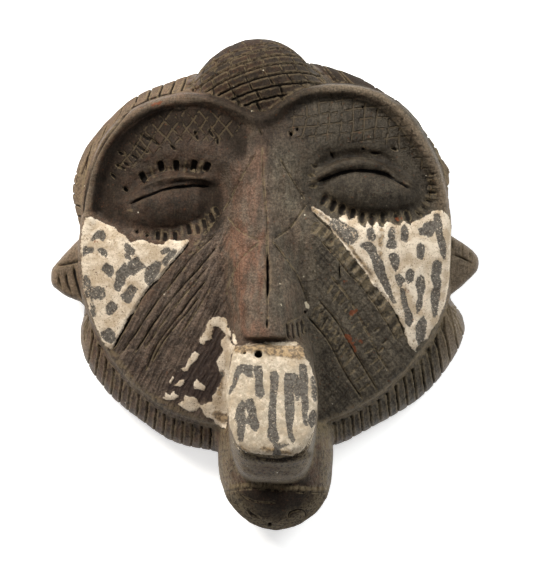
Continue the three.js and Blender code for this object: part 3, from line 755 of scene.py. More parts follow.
def wall_cuts(places, normals):
    """Upright cuts in the wall behind the right brow, where the band is hidden from above."""
    x, y = places[:, 0] - HEAD_CENTRE[0], places[:, 1] - HEAD_CENTRE[1]
    along = np.arctan2(y, x) * WALL_CUTS["radius"] / WALL_CUTS["gap"] + 0.3 * wander(places, 9, SEED + 12)
    off = np.abs(along - np.round(along)) * WALL_CUTS["gap"]
    below_rim = smoothstep(2, 4, EDGE_HEIGHT + EDGE_SLOPE * places[:, 1] - places[:, 2])
    share = smoothstep(0.55, 0.35, normals[:, 2]) * smoothstep(24, 30, x) * smoothstep(1, 5, y) * below_rim
    share *= smoothstep(1, 3, places[:, 2]) * (0.7 + 0.7 * wander(places, 7, SEED + 15))
    return groove(off, GOUGE["half"], WALL_CUTS["deep"]) * share


def distance_to_bottoms(places, bottoms, share):
    """Each place's distance to the bottom of the nearest gouge, where share is above zero."""
    tree = tree_of(bottoms)
    distance = np.full(len(places), 9.0)
    for i in np.flatnonzero(share > 0.02):
        distance[i] = tree.find(places[i])[2]
    return distance


def incised(places, plan):
    """How deep the point and the small chisel cut the face."""
    depth = np.zeros(len(places))
    for half, deep, points in INCISED:
        cut_line(depth, plan, smooth_line(points), half, deep)
    cut_lashes(depth, plan)
    cut_rungs(depth, plan)
    cut_marks(depth, plan, CELLS)
    cut_marks(depth, plan, TICKS)
    for ends in STABS:
        cut_line(depth, plan, ends, STAB_CUT["half"], STAB_CUT["deep"], STAB_CUT["taper"])
    return depth * (1 + 0.3 * wander(places, 3, SEED + 3))


def slits_and_holes(places, plan):
    """How deep the slits of the eyelids and the worm holes go."""
    slit = np.zeros(len(places))
    for half, deep, points in EYELIDS:
        cut_line(slit, plan, smooth_line(points), half, deep)
    slit *= 1 + 0.5 * wander(places, 1.3, SEED + 10)
    for middle, radius, deep in HOLES:
        gap = np.linalg.norm(places[:, :2] - np.array(middle), axis=1)
        slit = np.maximum(slit, deep * smoothstep(radius, radius * 0.75, gap))
    return slit


def creases_and_ridges(places, plan, outward):
    """Broad creases, less what stands out beside them, and the worn ridges that catch the light."""
    crease, ridges = np.zeros(len(places)), np.zeros(len(places))
    for half, deep, points in CREASES:
        cut_line(crease, plan, smooth_line(points), half, deep, 4)
    for line in ridges_between():
        where, off, _, _ = along_line(plan, line, 0.6)
        ridges[where] = np.maximum(ridges[where], groove(off, 0.5, 0.7))
    where, off, _, _ = along_line(plan, smooth_line(CHIN_LEDGE), 1.2)
    ridges[where] = np.maximum(ridges[where], groove(off, 0.7, 1.2))
    ridges *= outward
    crease -= 0.2 * ridges
    for jaw in JAWS:
        where, off, _, _ = along_line(plan, smooth_line(from_picture(jaw)), 2)
        ridges[where] = np.maximum(ridges[where], 0.9 * smoothstep(1.2, 0.4, off))
    for middle, half, rise in EYEBALLS:
        off = np.linalg.norm((places[:, :2] - np.array(middle)) / np.array(half), axis=1)
        crease -= rise * np.clip(1 - off**2, 0, 1)
    return crease, ridges


def strands_and_rows(places, normals, bottoms, depth):
    """The depth with the cuts of the band and the crown added, and the lips beside those cuts."""
    band, crown = band_share(places), crown_share(places)
    upper = smoothstep(-0.35, -0.1, normals[:, 2])
    distance = distance_to_bottoms(places, bottoms, np.maximum(band, crown) * upper)
    cut = groove(distance, GOUGE["half"], GOUGE["deep"]) * band * (0.85 + 0.6 * wander(places, 5, SEED + 4))
    cut = np.maximum(cut, groove(distance, CROWN_CUT["half"], CROWN_CUT["deep"]) * crown)
    lip = groove(np.abs(distance - 0.55), 0.3, 1) * np.maximum(band, 0.7 * crown) * upper
    depth = np.maximum(depth, cut * upper)
    depth = np.maximum(depth, crown_cuts(places) * upper)
    depth = np.maximum(depth, wall_cuts(places, normals) * band)
    depth *= 1 + crown * (0.5 - 0.9 * smoothstep(46, 58, places[:, 1] - 0.25 * places[:, 0]))
    return depth, lip


def unevenness(places, normals):
    """How far the hand that carved it strayed from the smooth form, outward above zero."""
    hand = 0.22 * wander(places, 8, SEED + 5) + 0.12 * wander(places, 2.8, SEED + 6)
    hand += 0.05 * wander(places, 1.2, SEED + 9) + 0.12 * brow_share(places) * wander(places, 1.7, SEED + 13)
    hand -= 0.5 * smoothstep(-0.1, -0.5, normals[:, 2]) * np.abs(wander(places, 6, SEED + 14))
    return hand * smoothstep(0.5, 3, places[:, 2])


def carve(piece, bottoms):
    """Cuts everything that the chisel and the point left, and keeps how deep each place was cut."""
    mesh = piece.data
    places, normals = places_of(mesh), normals_of(mesh)
    outward = smoothstep(0.05, 0.4, normals[:, 2])
    warp = np.column_stack([wander(places, 3.5, SEED + 1), wander(places, 3.5, SEED + 2)])
    plan = places[:, :2] + 0.1 * warp
    crease, ridges = creases_and_ridges(places, plan, outward)
    slit = slits_and_holes(places, plan) * outward
    depth, lip = strands_and_rows(places, normals, bottoms, incised(places, plan) * outward)
    crease -= GOUGE["lip"] * lip
    clay, stroke, _ = painted(places, normals)
    coat = CLAY_THICKNESS * smoothstep(-0.1, 0.2, clay) - STROKE_DIP * smoothstep(-0.1, 0.1, np.minimum(stroke, clay))
    added = unevenness(places, normals) + coat
    places += normals * (added - np.maximum(depth, slit) - crease * outward)[:, None]
    keep_inside(mesh, places)
    keep(mesh, "cut", np.clip(depth / 0.5, 0, 1.2))
    keep(mesh, "lip", np.maximum(lip, ridges))
    keep(mesh, "slit", np.clip(slit, 0, 1))


def keep(mesh, name, values):
    """Stores one number for each place on the surface, for the material to read."""
    held = mesh.attributes.new(name, "FLOAT", "POINT")
    held.data.foreach_set("value", np.asarray(values, np.float32))


def painted(places, normals):
    """How deep each place lies inside the clay and inside its dark shapes, in millimetres."""
    _, y, z = places.T
    warp = np.column_stack([wander(places, 1.4, SEED + 7), wander(places, 1.4, SEED + 8)])
    plan = places[:, :2] + 0.14 * warp
    front = np.where((normals[:, 2] > -0.1) & (z > EDGE_HEIGHT + EDGE_SLOPE * y - 1.5), 0.0, OFF_THE_FACE)
    cheeks = np.maximum(depth_inside(plan, from_picture(LEFT_CLAY)), depth_inside(plan, from_picture(RIGHT_CLAY)))
    on_muzzle = np.where((z > 33 - 0.2 * (y + 16)) & (normals[:, 2] > 0.3), 0.0, OFF_THE_FACE)
    muzzle = depth_inside(plan, from_picture(MUZZLE_CLAY)) + on_muzzle
    clay = np.maximum(np.maximum(cheeks + front, muzzle), depth_in_shapes(plan, CRUSTS) + front)
    clay = np.maximum(clay, -4)
    return clay, depth_in_shapes(plan, LEFT_BLOTS + RIGHT_STROKES + MUZZLE_STROKES) + STROKE_SPREAD, front


def paint(piece):
    """Keeps where clay, strokes, stain, flecks and scored lines lie, for the material to read."""
    mesh = piece.data
    places, normals = places_of(mesh), normals_of(mesh)
    plan = places[:, :2]
    clay, stroke, front = painted(places, normals)
    keep(mesh, "clay", clay)
    keep(mesh, "stroke", stroke)
    keep(mesh, "speckle", depth_in_strokes(plan, SPECKLED))
    keep(mesh, "browned", depth_in_strokes(plan, BROWNED))
    keep(mesh, "stain", depth_inside(plan, from_picture(STAIN)) + front)
    keep(mesh, "fleck", depth_in_strokes(plan, RED_FLECKS) + front)
    keep(mesh, "crumb", depth_in_strokes(plan, CRUMBS) + front)
    keep(mesh, "left_way", smoothstep(-1, 2, depth_inside(plan, LEFT_CHEEK)))
    keep(mesh, "right_way", smoothstep(-1, 2, depth_inside(plan, RIGHT_CHEEK)))
    brows = brow_share(places)
    keep(mesh, "diamonds", smoothstep(-0.3, 0.8, depth_inside(plan, DIAMONDS)) * brows)
    keep(mesh, "squares", smoothstep(-0.3, 0.8, depth_inside(plan, SQUARES)) * brows)
    keep(mesh, "muzzle", smoothstep(-1, 1, depth_inside(plan, from_picture(MUZZLE_CLAY))))


def find_high_and_low(piece):
    """Keeps how far each place stands out: bulge beside its neighbours, and hollow over some millimetres."""
    mesh = piece.data
    places, normals = places_of(mesh), normals_of(mesh)
    a, b, count = corner_sums(mesh)
    bulge = ((places - neighbours_mean(places, a, b, count)) * normals).sum(axis=1)
    for _ in range(BULGE_ROUNDS):
        bulge = neighbours_mean(bulge[:, None], a, b, count)[:, 0]
    keep(mesh, "bulge", bulge / (0.5 * GRAIN_OF_MESH))
    broad = places.copy()
    for _ in range(at_this_grain(HOLLOW_ROUNDS)):
        broad = neighbours_mean(broad, a, b, count)
    keep(mesh, "hollow", ((places - broad) * normals).sum(axis=1))


def weather_and_painted_light(piece):
    """Keeps where the wood is ruddy or dusty, and where light and shade are painted: the nose's lit plane, the grey
    right side with its cool light, the shaded brows and sockets, and the lit rims, band and ears, for the material to
    read.
    """
    mesh = piece.data
    places, normals = places_of(mesh), normals_of(mesh)
    x, y, z = places.T
    plan, facing = places[:, :2], normals[:, 2]
    brows, crown, band = brow_share(places), crown_share(places), band_share(places)
    on_face = np.maximum(smoothstep(-2, 0, z - EDGE_HEIGHT - EDGE_SLOPE * y), brows)
    on_chin = smoothstep(-38, -41, y) * smoothstep(0.1, 0.4, facing)
    on_nose = smoothstep(13, 10.5, np.abs(x)) * smoothstep(42, 32, y) * smoothstep(-16, -12, y)
    on_nose *= smoothstep(24, 27, z - 0.1 * (30 - y))
    behind_rim = spot(plan, *BEHIND_RIGHT_RIM) * band
    keep(mesh, "back", smoothstep(0.2, -0.2, facing) * smoothstep(46, 43, np.hypot(x, y - HEAD_CENTRE[1])))
    # Painted light: the nose's left plane lighter and redder, as if lit from the left, most towards its foot
    left_plane = 0.3 + 0.7 * smoothstep(2, -1, x)
    keep(mesh, "lit_nose_plane", on_nose * left_plane * (0.5 + 0.5 * smoothstep(24, 8, y)))
    # Partly grey dust, partly painted cool light: greyer on the right side of the face and on the nose's right plane,
    # which stands in shade
    grey_dust_and_cool_light = np.maximum(0.75 * on_nose * smoothstep(-1, 4, x), 0.6 * smoothstep(2, 14, x))
    keep(mesh, "grey_dust_and_cool_light", grey_dust_and_cool_light * (1 - 0.8 * np.maximum(on_chin, behind_rim)))

    # Painted shade: the sunk brow fields darker, most close to the rims that would shade them, and the sockets, the
    # eyes' inner corners and under the muzzle; the crown and chin are darker wood
    shade_and_dark_wood = BROW_SHADE * brows
    lit_rim, rim_foot = np.zeros(len(places)), np.zeros(len(places))
    for edge, field, dark in ((LEFT_RIM, LEFT_FIELD, 1.0), (RIGHT_RIM, RIGHT_FIELD, 0.5)):
        inside = smoothstep(-0.4, 0.5, depth_inside(plan, from_picture(edge + field)))
        off = distance_to_line(plan, smooth_line(from_picture(edge)), 12)
        shade_and_dark_wood = np.maximum(shade_and_dark_wood, dark * inside * (0.5 + 0.5 * smoothstep(11, 4, off)))
        # Painted highlight: the tops of the brow rims lighter, more on the right
        lit_rim = np.maximum(lit_rim, (1 - inside) * smoothstep(2.8, 1.8, off))
        rim_foot = np.maximum(rim_foot, smoothstep(1.2, 0.3, off))
    keep(mesh, "lit_rim", lit_rim * on_face * (0.5 + 0.5 * smoothstep(0, 20, x)))
    for middle, half, share in SHADED_AND_DARK_PLACES:
        shade_and_dark_wood = np.maximum(shade_and_dark_wood, share * spot(plan, middle, half))
    shade_and_dark_wood *= np.maximum(np.maximum(on_face, crown), on_chin)
    keep(mesh, "shade_and_dark_wood", np.maximum(shade_and_dark_wood, behind_rim))

    steep = smoothstep(0.8, 0.5, facing) * smoothstep(-0.1, 0.2, facing)
    jaw = steep * on_face * smoothstep(0, -8, y) * smoothstep(20, 24, np.hypot(x, y + 6))
    ledge = distance_to_line(plan, smooth_line(CHIN_LEDGE), 2)
    keep(mesh, "jaw", np.maximum(jaw, smoothstep(0.8, 0.3, ledge) * smoothstep(0, 0.4, facing)))
    mane = band * smoothstep(-6, 6, y)
    keep(mesh, "mane", mane)
    # Painted light: the upward-facing band on the left and the ears lighter, as if lit
    lit_band_and_ears = np.maximum(0.6 * mane * smoothstep(8, -6, x), smoothstep(44, 48, np.abs(x)))
    keep(mesh, "lit_band_and_ears", lit_band_and_ears * smoothstep(-0.1, 0.45, facing))
    ruddy = np.maximum(crown * (0.6 + 0.4 * smoothstep(6, -8, x)), 0.4 * smoothstep(-2, -14, x))
    ruddy = np.maximum(ruddy, np.maximum(behind_rim, 0.5 * on_chin))
    keep(mesh, "ruddy", np.maximum(ruddy, rim_foot * on_face))


def thin(piece):
    """Fewer triangles: first in the hollow back, which is plain, and then all over."""
    mesh = piece.data
    faces = sum(len(p.vertices) - 2 for p in mesh.polygons)
    if faces > MOST_TRIANGLES:
        behind = np.flatnonzero(normals_of(mesh)[:, 2] < -0.15)
        plain = piece.vertex_groups.new(name="plain")
        plain.add(behind.tolist(), 1, "REPLACE")
        fewer = piece.modifiers.new("fewer_behind", "DECIMATE")
        fewer.vertex_group = plain.name
        fewer.ratio = 1 - THINNED_BEHIND * len(behind) / len(mesh.vertices)
        apply_modifiers(piece)
        piece.vertex_groups.clear()
        faces = sum(len(p.vertices) - 2 for p in piece.data.polygons)
        fewer = piece.modifiers.new("fewer", "DECIMATE")
        fewer.ratio = min(1, MOST_TRIANGLES / faces)
        apply_modifiers(piece)
        keep_inside(piece.data, places_of(piece.data))
    for polygon in piece.data.polygons:
        polygon.use_smooth = True


def node_group(name, inputs, outputs):
    """An empty node group with float, vector or colour sockets, and its two end nodes."""
    made = bpy.data.node_groups.new(name, "ShaderNodeTree")
    for socket, kind, value in inputs:
        held = made.interface.new_socket(socket, in_out="INPUT", socket_type="NodeSocket" + kind)
        if value is not None:
            held.default_value = value
    for socket, kind in outputs:
        made.interface.new_socket(socket, in_out="OUTPUT", socket_type="NodeSocket" + kind)
    return made, made.nodes.new("NodeGroupInput"), made.nodes.new("NodeGroupOutput")


class Bench:
    """Short ways to lay out nodes in one tree."""

    def __init__(self, tree):
        self.tree = tree

    def node(self, kind, **settings):
        made = self.tree.nodes.new("ShaderNode" + kind)
        for name, value in settings.items():
            setattr(made, name, value)
        return made

    def put(self, socket, value):
        if isinstance(value, bpy.types.NodeSocket):
            self.tree.links.new(value, socket)
        else:
            socket.default_value = value

    def math(self, operation, a, b=0.0, c=0.0):
        made = self.node("Math", operation=operation)
        for socket, value in zip(made.inputs, (a, b, c)):
            self.put(socket, value)
        return made.outputs[0]

    def fade(self, value, low, high):
        """0 below low and 1 above high, with a soft step between them."""
        made = self.node("MapRange", interpolation_type="SMOOTHSTEP")
        for name, held in (("Value", value), ("From Min", low), ("From Max", high)):
            self.put(made.inputs[name], held)
        return made.outputs[0]

    def noise(self, place, scale, detail=2.0, rough=0.5):
        made = self.node("TexNoise")
        for name, held in (("Vector", place), ("Scale", scale), ("Detail", detail), ("Roughness", rough)):
            self.put(made.inputs[name], held)
        return made.outputs["Fac"]

    def stretch(self, place, scale):
        made = self.node("Mapping")
        self.put(made.inputs["Vector"], place)
        self.put(made.inputs["Scale"], scale)
        return made.outputs[0]

    def turn(self, place, angle):
        made = self.node("VectorRotate", rotation_type="Z_AXIS")
        self.put(made.inputs["Vector"], place)
        self.put(made.inputs["Angle"], angle)
        return made.outputs[0]

    def mix(self, share, under, over, way="MIX"):
        made = self.node("Mix", data_type="RGBA", blend_type=way)
        for socket, value in zip((made.inputs[0], made.inputs[6], made.inputs[7]), (share, under, over)):
            self.put(socket, value)
        return made.outputs[2]

    def held(self, name):
        return self.node("Attribute", attribute_name=name).outputs["Fac"]

    def times(self, first, *others):
        for other in others:
            first = self.math("MULTIPLY", first, other)
        return first

    def tint(self, under, over, share, most=1.0):
        """One colour over another where share is high, and nowhere more strongly than most."""
        return self.mix(self.times(share, most), under, over)

    def use(self, group, **values):
        made = self.tree.nodes.new("ShaderNodeGroup")
        made.node_tree = group
        for name, value in values.items():
            self.put(made.inputs[name], value)
        return made.outputs


def colour(red, green, blue):
    """A colour from its screen values of 0 to 255."""
    parts = (part / 255 for part in (red, green, blue))
    return tuple(part / 12.92 if part < 0.04 else ((part + 0.055) / 1.055) ** 2.4 for part in parts) + (1,)


def ragged_edge():
    """A patch whose edge is broken up: Distance is in millimetres, above zero inside it."""
    inputs = [("Place", "Vector", None), ("Distance", "Float", 0.0), ("Ragged", "Float", 0.5),
              ("Fine", "Float", 1.0), ("Soft", "Float", 0.15)]
    group, start, end = node_group("ragged_edge", inputs, [("Mask", "Float")])
    bench = Bench(group)
    broad = bench.noise(start.outputs["Place"], start.outputs["Fine"], 4.0, 0.62)
    push = bench.times(bench.math("SUBTRACT", broad, 0.5), start.outputs["Ragged"], 3.2)
    moved = bench.math("ADD", start.outputs["Distance"], push)
    low = bench.times(start.outputs["Soft"], -1.0)
    bench.put(end.inputs["Mask"], bench.fade(moved, low, start.outputs["Soft"]))
    return group


def wood_fibre():
    """Long fibres and scratches along Way: Tone and Relief change with them, Pores are dark and Scrapes pale."""
    group, start, end = node_group(
        "wood_fibre", [("Place", "Vector", None), ("Way", "Float", 0.0)],
        [("Tone", "Float"), ("Relief", "Float"), ("Pores", "Float"), ("Scrapes", "Float")])
    bench = Bench(group)
    place = bench.turn(start.outputs["Place"], bench.times(start.outputs["Way"], -1.0))
    broad = bench.noise(bench.stretch(place, (0.09, 0.7, 0.4)), 1.0, 4.0, 0.62)
    fine = bench.noise(bench.stretch(place, (0.3, 2.4, 1.6)), 1.0, 4.0, 0.65)
    bench.put(end.inputs["Tone"], bench.math("MULTIPLY_ADD", broad, 0.55, bench.times(fine, 0.45)))
    bench.put(end.inputs["Relief"], bench.math("MULTIPLY_ADD", fine, 0.6, bench.times(broad, 0.4)))
    bench.put(end.inputs["Pores"], bench.fade(fine, 0.56, 0.68))
    bench.put(end.inputs["Scrapes"], bench.fade(fine, 0.42, 0.32))
    return group


def crumbly_clay():
    """Dried clay: its Colour is mottled and its Relief pitted, and Holes are where crumbs have fallen off."""
    group, start, end = node_group("crumbly_clay", [("Place", "Vector", None)],
                                   [("Colour", "Color"), ("Relief", "Float"), ("Holes", "Float")])
    bench = Bench(group)
    place = start.outputs["Place"]
    cloud = bench.noise(place, 0.25, 4.0, 0.6)
    crumb = bench.noise(place, 1.7, 4.0, 0.7)
    shade = bench.mix(bench.fade(cloud, 0.36, 0.64), colour(192, 172, 147), colour(232, 217, 197))
    shade = bench.mix(bench.fade(crumb, 0.46, 0.3), shade, colour(152, 131, 106))
    specks = bench.noise(place, 2.9, 3.0, 0.6)
    shade = bench.mix(bench.fade(specks, 0.6, 0.69), shade, colour(128, 104, 80))
    bench.put(end.inputs["Colour"], bench.mix(bench.fade(specks, 0.36, 0.28), shade, colour(222, 210, 190)))
    bench.put(end.inputs["Relief"], bench.math("MULTIPLY_ADD", crumb, 0.65, bench.times(cloud, 0.35)))
    bench.put(end.inputs["Holes"], bench.fade(bench.noise(place, 0.9, 4.0, 0.68), 0.66, 0.7))
    return group


def scored_line():
    """Fine scored lines side by side: Way is their direction, Gap their spacing and Half half their width."""
    inputs = [("Place", "Vector", None), ("Way", "Float", 0.0), ("Gap", "Float", 3.0), ("Half", "Float", 0.15)]
    group, start, end = node_group("scored_line", inputs, [("Line", "Float")])
    bench = Bench(group)
    place = start.outputs["Place"]
    at = bench.node("SeparateXYZ")
    bench.put(at.inputs[0], place)
    sine, cosine = (bench.math(kind, start.outputs["Way"]) for kind in ("SINE", "COSINE"))
    across = bench.math("SUBTRACT", bench.times(at.outputs[1], cosine), bench.times(at.outputs[0], sine))
    sway = bench.math("MULTIPLY_ADD", bench.noise(place, 0.1, 2.0, 0.5), 2.0, across)
    sway = bench.math("MULTIPLY_ADD", bench.noise(place, 1.1, 3.0, 0.5), 0.35, sway)
    gap = bench.math("PINGPONG", sway, bench.times(start.outputs["Gap"], 0.5))
    half = start.outputs["Half"]
    line = bench.fade(gap, bench.times(half, 1.8), bench.times(half, 0.5))
    broken = bench.fade(bench.noise(place, 0.45, 4.0, 0.65), 0.36, 0.5)
    bench.put(end.inputs["Line"], bench.times(line, broken))
    return group


def old_wood(bench, place, fibre, laid_lines):
    """The colour of the bare wood: fibres, painted light on the nose's left plane, rims, band and ears, grey dust
    with painted cool light, painted shade in the brows and hollows, rubbed high places, dirt and dust.
    """
    grain, patch, scrapes = fibre
    bulge, cut, hollow = bench.held("bulge"), bench.held("cut"), bench.held("hollow")
    shade_and_dark_wood, mane = bench.held("shade_and_dark_wood"), bench.held("mane")
    mottle = bench.noise(place, 1.15, 5.0, 0.72)
    broken = bench.noise(place, 0.7, 4.0, 0.65)
    tone = bench.math("MULTIPLY_ADD", patch, 0.35, bench.times(grain, 0.35))
    tone = bench.fade(bench.math("MULTIPLY_ADD", mottle, 0.3, tone), 0.37, 0.63)

    wood = bench.mix(tone, colour(46, 38, 31), colour(105, 89, 77))
    ruddy = bench.times(bench.held("ruddy"), bench.fade(bench.noise(place, 0.35, 5.0, 0.7), 0.42, 0.58))
    wood = bench.tint(wood, colour(102, 66, 46), ruddy, 0.7)
    left_cheek = bench.mix(tone, colour(66, 54, 48), colour(132, 116, 104))
    wood = bench.tint(wood, left_cheek, bench.held("left_way"), 0.6)
    # Grey dust with painted cool light on the right side and the nose's right plane
    wood = bench.tint(wood, bench.mix(tone, colour(46, 41, 34), colour(110, 105, 91)), bench.held("grey_dust_and_cool_light"))
    # Painted light: the nose's left plane in lighter, rosier tones, as if lit
    streak = bench.fade(bench.noise(bench.stretch(place, (0.3, 0.1, 0.2)), 1.0, 3.0, 0.55), 0.4, 0.62)
    rosy = bench.mix(tone, bench.mix(streak, colour(66, 54, 43), colour(80, 55, 41)),
                     bench.mix(streak, colour(118, 104, 91), colour(136, 102, 84)))
    wood = bench.tint(wood, rosy, bench.held("lit_nose_plane"), 0.9)
    # Painted highlight along the tops of the brow rims
    wood = bench.tint(wood, colour(126, 111, 94), bench.held("lit_rim"), 0.75)
    # Painted light on the band's left side and on the ears
    wood = bench.tint(wood, colour(134, 117, 98), bench.held("lit_band_and_ears"), 0.6)
    # Painted shade over the sunk brows, sockets, eye corners and under the muzzle, and darker wood on the crown and
    # chin
    wood = bench.tint(wood, colour(25, 19, 13), shade_and_dark_wood, 0.8)
    speck = bench.fade(bench.noise(place, 1.9, 4.0, 0.7), 0.36, 0.64)
    wood = bench.mix(1.0, wood, bench.mix(speck, (0.66, 0.66, 0.66, 1), (1.33, 1.31, 1.27, 1)), "MULTIPLY")

    # High places that hands have rubbed, less where shade is painted
    open_place = bench.math("MULTIPLY_ADD", shade_and_dark_wood, -0.6, 1.0)
    wood = bench.tint(wood, colour(122, 108, 86), bench.times(scrapes, open_place), 0.35)
    rubbed = bench.times(bench.fade(bulge, 0.02, 0.12), bench.fade(mottle, 0.36, 0.56), open_place)
    wood = bench.tint(wood, colour(132, 115, 92), rubbed, 0.75)
    worn = bench.times(bench.fade(hollow, 0.1, 0.6), bench.fade(broken, 0.34, 0.6), open_place)
    wood = bench.tint(wood, colour(134, 112, 86), worn, 0.5)
    edge_dust = bench.times(bench.held("jaw"), bench.fade(mottle, 0.38, 0.56))
    wood = bench.tint(wood, colour(124, 109, 83), edge_dust, 0.75)

    # Darker in the hollows, fine creases, cuts and scored lines: partly dirt, partly painted shade
    sunk = bench.times(bench.fade(hollow, -0.05, -0.6), bench.math("MULTIPLY_ADD", bench.held("squares"), -0.4, 0.75))
    wood = bench.tint(wood, colour(22, 17, 12), sunk)
    wood = bench.tint(wood, colour(20, 16, 11), bench.fade(bulge, -0.01, -0.1), 0.65)
    wood = bench.tint(wood, colour(17, 13, 10), bench.fade(cut, 0.3, 1.2), 0.72)
    wood = bench.tint(wood, colour(38, 30, 24), bench.fade(cut, 0.1, 0.5), mane)
    # Painted shadow along the scored lines, with pale dust in their middles
    wood = bench.tint(wood, colour(24, 19, 14), bench.fade(laid_lines, 0.0, 0.3), 0.45)
    wood = bench.tint(wood, colour(108, 93, 71), bench.fade(laid_lines, 0.45, 0.9), 0.45)

    # Pale lips of the cuts and ridges, partly dust and partly painted highlight, and pale dust in the shallow cuts
    lip = bench.times(bench.held("lip"), bench.fade(broken, 0.38, 0.56))
    wood = bench.tint(wood, colour(136, 119, 92), lip, 0.6)
    dusty = bench.times(bench.fade(cut, 0.04, 0.2), bench.fade(cut, 0.8, 0.4), bench.math("SUBTRACT", 1.0, mane))
    dusty = bench.times(dusty, bench.fade(bench.noise(place, 0.8, 4.0, 0.65), 0.44, 0.56))
    wood = bench.tint(wood, colour(126, 111, 86), dusty, 0.65)
    # A little more of the same painted shade and dark wood
    wood = bench.tint(wood, colour(30, 22, 15), shade_and_dark_wood, 0.2)
    rust = bench.fade(bench.noise(place, 0.9, 4.0, 0.7), 0.62, 0.7)
    return bench.tint(wood, colour(112, 66, 38), rust, 0.45)


def pale_crumbs(bench, place):
    """Where single pale crumbs of clay cling to the wood."""
    dot = bench.node("TexVoronoi")
    bench.put(dot.inputs["Vector"], place)
    dot.inputs["Scale"].default_value = 0.28
    chosen = bench.node("SeparateColor")
    bench.put(chosen.inputs[0], dot.outputs["Color"])
    near = bench.fade(dot.outputs["Distance"], 0.07, 0.04)
    return bench.times(near, bench.fade(chosen.outputs[0], 0.66, 0.68))


def scored_places(bench, place):
    """Fine scored lines: diamonds on the left brow, squares on the right one, and lines down both cheeks."""
    score = scored_line()
    fields = []
    scores = (("diamonds", 1.0, ((0.95, 2.75), (2.25, 2.75))), ("squares", 0.8, ((0.12, 2.9), (1.5, 3.1))),
              ("left_way", 0.35, ((1.08, 1.7), (1.16, 2.6))), ("right_way", 0.26, ((2.23, 2.2), (0.8, 2.4))))
    for field, share, ways in scores:
        lines = [bench.use(score, Place=place, Way=way, Gap=gap, Half=0.24)["Line"] for way, gap in ways]
        fields.append(bench.times(bench.math("MAXIMUM", *lines), bench.held(field), share))
    return bench.math("MAXIMUM", bench.math("MAXIMUM", *fields[:2]), bench.math("MAXIMUM", *fields[2:]))


def fibres_along_the_carving(bench, place):
    """Fibres that run down the nose and brows, and aslant down both cheeks: tone, patches, scrapes, relief, pores."""
    group = wood_fibre()
    upright, left, right = (bench.use(group, Place=place, Way=way) for way in (1.57, 1.08, 2.23))
    left_way, right_way = bench.held("left_way"), bench.held("right_way")

    def blend(name):
        value = upright[name]
        for share, other in ((left_way, left[name]), (right_way, right[name])):
            step = bench.times(share, bench.math("SUBTRACT", other, value))
            value = bench.math("ADD", value, step)
        return value

    patch = bench.noise(place, 0.17, 5.0, 0.7)
    return blend("Tone"), patch, blend("Scrapes"), blend("Relief"), blend("Pores")


def painted_clay(bench, place, clay, patch):
    """The clay's colour with its smoke, brown dirt and dark strokes, and where the strokes lie."""
    scraped = bench.fade(bench.noise(place, 1.9, 4.0, 0.72), 0.57, 0.63)
    stroke = bench.times(patch("stroke", 0.36, 1.9, 0.1), bench.math("SUBTRACT", 1.0, bench.times(scraped, 0.75)))
    thin_paint = bench.fade(bench.noise(place, 1.7, 3.0, 0.6), 0.36, 0.46)
    stroke = bench.math("MAXIMUM", stroke, bench.times(patch("speckle", 0.5, 0.9, 0.2), thin_paint))
    brushed = bench.fade(bench.noise(place, 1.3, 4.0, 0.65), 0.36, 0.62)
    brushed = bench.mix(brushed, colour(52, 48, 46), colour(98, 94, 89))
    dirty = bench.fade(bench.noise(place, 1.0, 4.0, 0.65), 0.4, 0.6)
    dirty = bench.mix(dirty, colour(72, 55, 40), colour(164, 136, 98))
    smoked = bench.times(bench.held("muzzle"), bench.fade(bench.noise(place, 0.8, 5.0, 0.7), 0.25, 0.65))
    coat = bench.tint(clay, colour(156, 144, 126), smoked, 0.85)
    coat = bench.tint(coat, dirty, patch("browned", 0.6, 0.8, 0.4), 0.8)
    return bench.tint(coat, brushed, stroke, 0.92), stroke


def roughness(bench, grain, laid):
    """Rough along the grain and in the cuts, smoother where hands have touched, dull where shade and dark wood are
    painted and on the clay.
    """
    rough = bench.math("MULTIPLY_ADD", grain, 0.35, 0.3)
    handled = bench.math("MAXIMUM", bench.fade(bench.held("hollow"), 0.0, 0.5), bench.held("lit_nose_plane"))
    rough = bench.math("MULTIPLY_ADD", handled, -0.12, rough)
    rough = bench.math("ADD", rough, bench.times(bench.fade(bench.held("cut"), 0.1, 0.6), 0.3))
    rough = bench.math("MULTIPLY_ADD", bench.held("back"), 0.2, rough)
    dull = bench.math("MAXIMUM", bench.times(bench.held("shade_and_dark_wood"), 0.85), bench.held("mane"))
    return bench.math("MAXIMUM", rough, bench.math("MAXIMUM", bench.times(laid, 0.93), dull))


def fine_relief(bench, place, on_wood, on_clay):
    """What is too fine for the mesh: grain, tool marks and scored lines on the wood, and pits in the clay."""
    grain_relief, scored = on_wood
    clay_relief, stroke, laid = on_clay
    wood = bench.times(bench.noise(place, 0.5, 6.0, 0.7), 0.75)
    wood = bench.math("ADD", wood, bench.times(grain_relief, 0.5))
    wood = bench.math("MULTIPLY_ADD", bench.noise(place, 2.0, 3.0, 0.6), 0.12, wood)
    wood = bench.times(wood, bench.math("MULTIPLY_ADD", bench.held("lit_rim"), 0.6, 1.0))
    wood = bench.math("SUBTRACT", wood, bench.times(scored, 0.4))
    clay = bench.math("MULTIPLY_ADD", clay_relief, 0.55, 0.4)
    clay = bench.math("SUBTRACT", clay, bench.times(stroke, 0.08))
    height = bench.math("ADD", bench.times(wood, bench.math("SUBTRACT", 1.0, laid)), bench.times(clay, laid))
    bump = bench.node("Bump")
    bench.put(bump.inputs["Height"], height)
    bump.inputs["Strength"].default_value = 1.0
    bump.inputs["Distance"].default_value = 0.75 * MM
    return bump.outputs[0]


